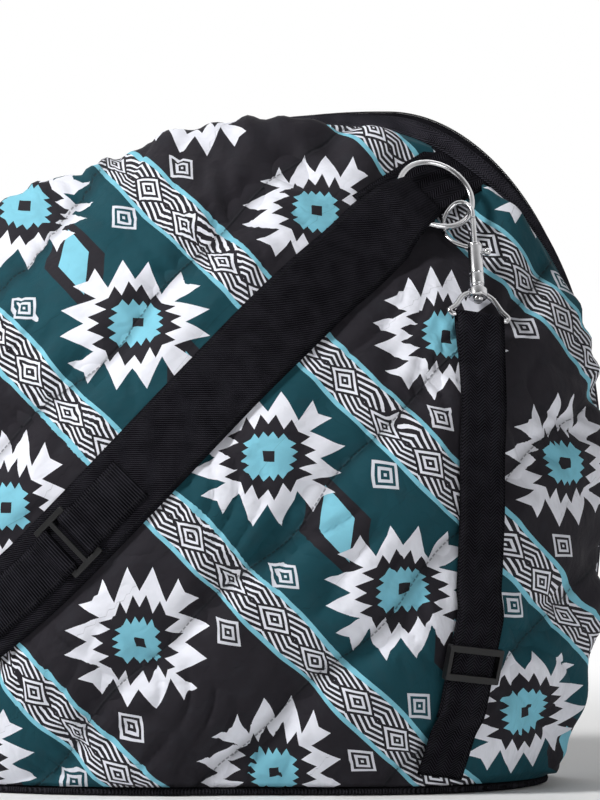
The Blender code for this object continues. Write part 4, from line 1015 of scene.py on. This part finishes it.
def make_snap(side):
    """Swivel snap: turned barrel and neck, cast hook, sliding bolt with its knob, and the strap's eye."""
    thin, barrel_r, groove_r, neck_r, bolt_r, knob_r = 0.0001, 0.0056, 0.0050, 0.0024, 0.0022, 0.0030
    barrel = [(thin, -0.0117), (0.0034, -0.0117), (0.0042, -0.0092), (neck_r, -0.0090), (neck_r, -0.0004),
              (0.0052, 0.0), (barrel_r, 0.0009), (groove_r, 0.0014), (groove_r, 0.0024), (barrel_r, 0.0030),
              (barrel_r, 0.0115), (0.0051, 0.0122), (barrel_r, 0.0130), (barrel_r, BARREL_L - 0.0032),
              (groove_r, BARREL_L - 0.0026), (barrel_r, BARREL_L - 0.0020), (barrel_r, BARREL_L - 0.0008),
              (0.0046, BARREL_L), (thin, BARREL_L)]
    hook = [(0.001, -0.003), (0.008, -0.0005), (0.017, 0.005), (HOOK_REACH - 0.001, 0.013), (HOOK_REACH, 0.022),
            (HOOK_REACH - 0.003, 0.031), (0.014, HOOK_H - 0.0015), (0.008, HOOK_H - 0.0005), (0.003, HOOK_H - 0.004),
            (0.0005, HOOK_H - 0.009), (0, HOOK_TIP)]
    path = smooth_path([(x, 0, BARREL_L + z) for x, z in hook], 0.0008)
    hardware(f"snap_casting_{side}", SNAP, [lathe(rounded_profile(barrel)), pipe(path, (0, 1, 0), 0.0019, 24)],
             side, "nickel", f"snap_{side}", f"snap_body_{side}")
    foot, tip, knob_z = BARREL_L - 0.012, BARREL_L + HOOK_TIP - 0.0006, BARREL_L - 0.008
    bolt = lathe(rounded_profile([(thin, foot), (bolt_r, foot), (bolt_r, tip - 0.0003), (thin, tip)]), 24)
    turn = np.linspace(0.02, math.pi - 0.02, 14)
    ball, ball_quads = lathe(np.stack([knob_r * np.sin(turn), -knob_r * np.cos(turn)], -1), 24)
    stalk, stalk_quads = lathe(rounded_profile([(thin, 0.0), (0.0014, 0.0), (0.0014, 0.0075), (thin, 0.0075)]), 16)
    stalk = np.stack([-stalk[:, 2] - 0.002, stalk[:, 1], stalk[:, 0] + knob_z], -1)
    ball = ball + (-(barrel_r + knob_r + 0.0006), 0.0, knob_z)
    hardware(f"snap_plunger_{side}", SNAP, [bolt, (stalk, stalk_quads), (ball, ball_quads)], side, "nickel",
             f"bolt_{side}", f"snap_bolt_{side}")
    low, collar_r, bore_r, collar_h = -0.0086, 0.0075, 0.0030, 0.0080
    collar = [(bore_r, 0), (0.0063, 0), (collar_r, 0.0012), (collar_r, 0.0068), (0.0063, collar_h), (bore_r, collar_h)]
    half = np.array([(0.0067, 0, low + 0.004), (0.0125, 0, low), (0.0185, 0, -EYE_DROP + 0.0085),
                     (0.0235, 0, -EYE_DROP + 0.0035), (0.0225, 0, -EYE_DROP + 0.0008), (0.0205, 0, -EYE_DROP),
                     (0.0100, 0, -EYE_DROP)])
    loop = smooth_path(np.concatenate([half, half[::-1] * (-1, 1, 1)]), 0.0010)
    hardware(f"swivel_loop_{side}", EYE, [lathe(rounded_profile([(r, low + z) for r, z in collar])),
                                          pipe(loop, (0, 1, 0), EYE_R)],
             side, "nickel", "bag", f"swivel_eye_{side}")
    dress(f"bolt_spring_{side}", "nickel")


def dress(node, finish):
    """Give a CAD node one of the scene's materials."""
    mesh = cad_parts[node].data
    mesh.materials.clear()
    mesh.materials.append(finish_of(finish))


def make_plastics(side):
    """Strap slider and ladder buckle: rounded rails, bars and core."""
    half_l, half_w, bar = 0.0135, 0.0230, 0.0052
    slot = 0.019 + GLIDE_GAP
    low, core_high = SEAT + WEB_T + GLIDE_GAP / 2, GLIDE_LIFT - WEB_T / 2 - GLIDE_GAP / 2
    bar_low = GLIDE_LIFT + WEB_T / 2 + GLIDE_GAP / 2
    top = bar_low + GLIDE_BAR
    shapes = [block((-half_l, -half_w, low), (half_l, -slot, top)), block((-half_l, slot, low), (half_l, half_w, top)),
              block((-0.003, -slot - 0.001, low), (0.003, slot + 0.001, core_high)),
              block((-half_l, -half_w, bar_low), (bar - half_l, half_w, top)),
              block((half_l - bar, -half_w, bar_low), (half_l, half_w, top))]
    hardware(f"strap_slider_{side}", GLIDE, shapes, side, "plastic", f"glide_{side}", f"strap_glide_{side}")
    middle, ahead = at_run(np.array([BUCKLE_AT, BUCKLE_AT + 0.01]), CARRY)
    normal = outward(middle)
    ahead = unit((ahead - middle) - normal * (ahead - middle).dot(normal))
    low = SEAT + CARRY_T + 0.0006
    high = low + BUCKLE_T
    half_l, half_w, slot, inner = BUCKLE_L / 2, 0.0235, 0.0191, BUCKLE_L / 2 - BUCKLE_BAR
    shapes = [block((x0, y0, low), (x1, y1, high)) for x0, y0, x1, y1 in (
        (-half_l, slot, half_l, half_w), (-half_l, -half_w, half_l, -slot), (inner, -half_w, half_l, half_w),
        (-half_l, -half_w, -inner, half_w), (-0.002, -half_w, 0.002, half_w))]
    hardware(f"flat_buckle_{side}", (middle, ahead, np.cross(normal, ahead), normal), shapes, side, "plastic", "bag",
             f"ladder_buckle_{side}")


def make_base():
    """Base board: a rounded slab with the outline of the form just above the floor."""
    ends = [HEART_X + outline_radius(a) * math.cos(a) for a in (rim_angle(FOOT, True), rim_angle(FOOT, False))]
    turn = np.arange(160) / 160 * 2 * math.pi
    x = (ends[0] + ends[1]) / 2 + (ends[0] - ends[1]) / 2 * np.cos(turn)
    y = depth_at(x, FOOT) * np.sign(np.sin(turn) + 1e-9)
    middle = np.array([x.mean(), 0.0])
    shrink = np.array([0.02, 0.5, 0.9, 0.985, 0.998, 1.0, 0.998, 0.985, 0.9, 0.5, 0.02])[:, None, None]
    level = np.array([0.0, 0.0, 0.0, 0.0002, 0.0012, 0.0030, 0.0048, 0.0058, 0.0060, 0.0060, 0.0060])
    flat = middle + shrink * (np.stack([x, y], -1) - middle)
    points, quads = capped(np.concatenate([flat, level[:, None, None] + np.zeros((*flat.shape[:2], 1))], -1))
    make_mesh("base_board", points, quads[:, ::-1], points, "right", "herringbone", "cloth", "bag", "base_panel")


def make_gusset():
    """Plain webbing behind the zip's end, and the metal zip parts in their finishes."""
    angles = even_angles(crown_angle(CROWN_ARC + 0.010 / CROWN_R), rim_angle(BAND_FOOT, False), 120)
    rows = rim_rows(angles, np.linspace(0.0134, -0.0134, 13), BAND_T / 2)
    webbing("rear_webbing", rows, BAND_T, "right", "band", "rear_gusset")
    for node in ("zip_stop", "zip_slider", "zip_pull"):
        dress(node, "gunmetal")


# Stage


def make_stage():
    """Floor, soft lamps, white surroundings and the camera."""
    scene, stage = bpy.context.scene, bpy.context.scene.bag_stage
    finish = Finish("backdrop")
    finish.set(Base_Color=tuple(stage.backdrop), Roughness=0.9)
    x, y, _ = finish.place().split()
    far = (x * x + y * y).math("SQRT").soft(0.45, 1.6) * finish.node("ShaderNodeLightPath")
    glow = finish.node("ShaderNodeEmission", inputs={"Color": (1, 1, 1)})
    matt = Value(finish.tree, finish.shader.outputs[0])
    put(finish.tree, finish.tree.nodes["Material Output"].inputs[0],
        finish.node("ShaderNodeMixShader", inputs={0: far, 1: matt, 2: glow}))
    x, y = np.meshgrid(np.linspace(-4, 4, 40), np.linspace(-4, 4, 40), indexing="ij")
    mesh = bpy.data.meshes.new("floor")
    mesh.from_pydata(np.stack([x, y, 0 * x - 0.0002], -1).reshape(-1, 3).tolist(), [], grid_quads(40, 40).tolist())
    mesh.materials.append(finish.material)
    floor = bpy.data.objects.new("floor", mesh)
    scene.collection.objects.link(floor)
    scene.world = bpy.data.worlds.new("surroundings")
    scene.world.use_nodes = True
    tree = scene.world.node_tree
    path = add_node(tree, "ShaderNodeLightPath").socket.node
    camera_ray, *others = (Value(tree, path.outputs[f"Is {ray} Ray"]) for ray in ("Camera", "Glossy", "Transmission"))
    ahead = add_node(tree, "ShaderNodeTexCoord").split()[1].soft(-0.75, 0.25)
    light = (0.20 + sum(others).smaller(1.0) * 0.80) * (0.14 + ahead * 0.86)
    put(tree, tree.nodes["Background"].inputs["Strength"], camera_ray + (1.0 - camera_ray) * light)
    put(tree, tree.nodes["Background"].inputs["Color"], (1, 1, 1))
    for name, place, size, power in (("key", (-1.8, -1.3, 2.1), 0.5, 82.0), ("fill", (2.0, -2.8, 1.0), 1.6, 24.0),
                                     ("rim", (0.4, 2.4, 2.2), 1.6, 22.0)):
        lamp = bpy.data.lights.new(name, "AREA")
        lamp.size, lamp.energy = size, power
        obj = bpy.data.objects.new(name, lamp)
        obj.location = place
        obj.rotation_euler = (Vector((0.05, 0, 0.28)) - Vector(place)).to_track_quat("-Z", "Y").to_euler()
        scene.collection.objects.link(obj)
    camera = bpy.data.objects.new("camera", bpy.data.cameras.new("camera"))
    camera.location = (0.061, -stage.distance, 0.299)
    camera.rotation_euler = (math.pi / 2, 0, 0)
    camera.data.lens, camera.data.clip_end = stage.lens, 50
    scene.collection.objects.link(camera)
    scene.camera = camera
    scene.view_settings.view_transform = "Standard"


# Add-on classes


class Builder:
    """What the operators share: they take each step for both sides, and then the steps taken once."""
    sided = once = ()

    def execute(self, context):
        for side in SIDES:
            for step in self.sided:
                step(side)
        for step in self.once:
            step()
        return {"FINISHED"}


class BAG_OT_stage(Builder, bpy.types.Operator):
    """Floor, lamps, surroundings and camera"""
    bl_idname, bl_label, once = "bag.stage", "Stage", (make_stage,)


class BAG_OT_panels(Builder, bpy.types.Operator):
    """Padded printed panels and the base board"""
    bl_idname, bl_label, sided, once = "bag.panels", "Panels", (make_panel,), (make_base,)


class BAG_OT_zip(Builder, bpy.types.Operator):
    """Zip bands, tapes, coils and the plain webbing behind them"""
    bl_idname, bl_label, sided, once = "bag.zip", "Zip", (make_zip,), (make_gusset,)


class BAG_OT_straps(Builder, bpy.types.Operator):
    """Wide and narrow straps, ring tabs and ribbed webbing"""
    bl_idname, bl_label, sided = "bag.straps", "Straps", (make_straps,)


class BAG_OT_hardware(Builder, bpy.types.Operator):
    """Rings, swivel snaps, strap sliders and buckles"""
    bl_idname, bl_label, sided = "bag.hardware", "Hardware", (make_ring, make_snap, make_plastics)


class BAG_PT_panel(bpy.types.Panel):
    """Sidebar list of the bag's operators"""
    bl_idname = "BAG_PT_panel"
    bl_label = "Saddle bag"
    bl_space_type = "VIEW_3D"
    bl_region_type = "UI"
    bl_category = "Saddle bag"

    def draw(self, context):
        for operator in OPERATORS:
            self.layout.operator(operator.bl_idname)


GROUPS = {"bag_cloth": ClothSettings, "bag_trim": TrimSettings, "bag_stage": StageSettings}
OPERATORS = (BAG_OT_stage, BAG_OT_panels, BAG_OT_zip, BAG_OT_straps, BAG_OT_hardware)


def register():
    for made in (*GROUPS.values(), *OPERATORS, BAG_PT_panel):
        bpy.utils.register_class(made)
    for name, group in GROUPS.items():
        setattr(bpy.types.Scene, name, bpy.props.PointerProperty(type=group))


def unregister():
    for name in GROUPS:
        delattr(bpy.types.Scene, name)
    for made in reversed((*GROUPS.values(), *OPERATORS, BAG_PT_panel)):
        bpy.utils.unregister_class(made)


def main():
    register()
    for operator in OPERATORS:
        getattr(bpy.ops.bag, operator.bl_idname.split(".")[1])()


if __name__ == "__main__":
    main()
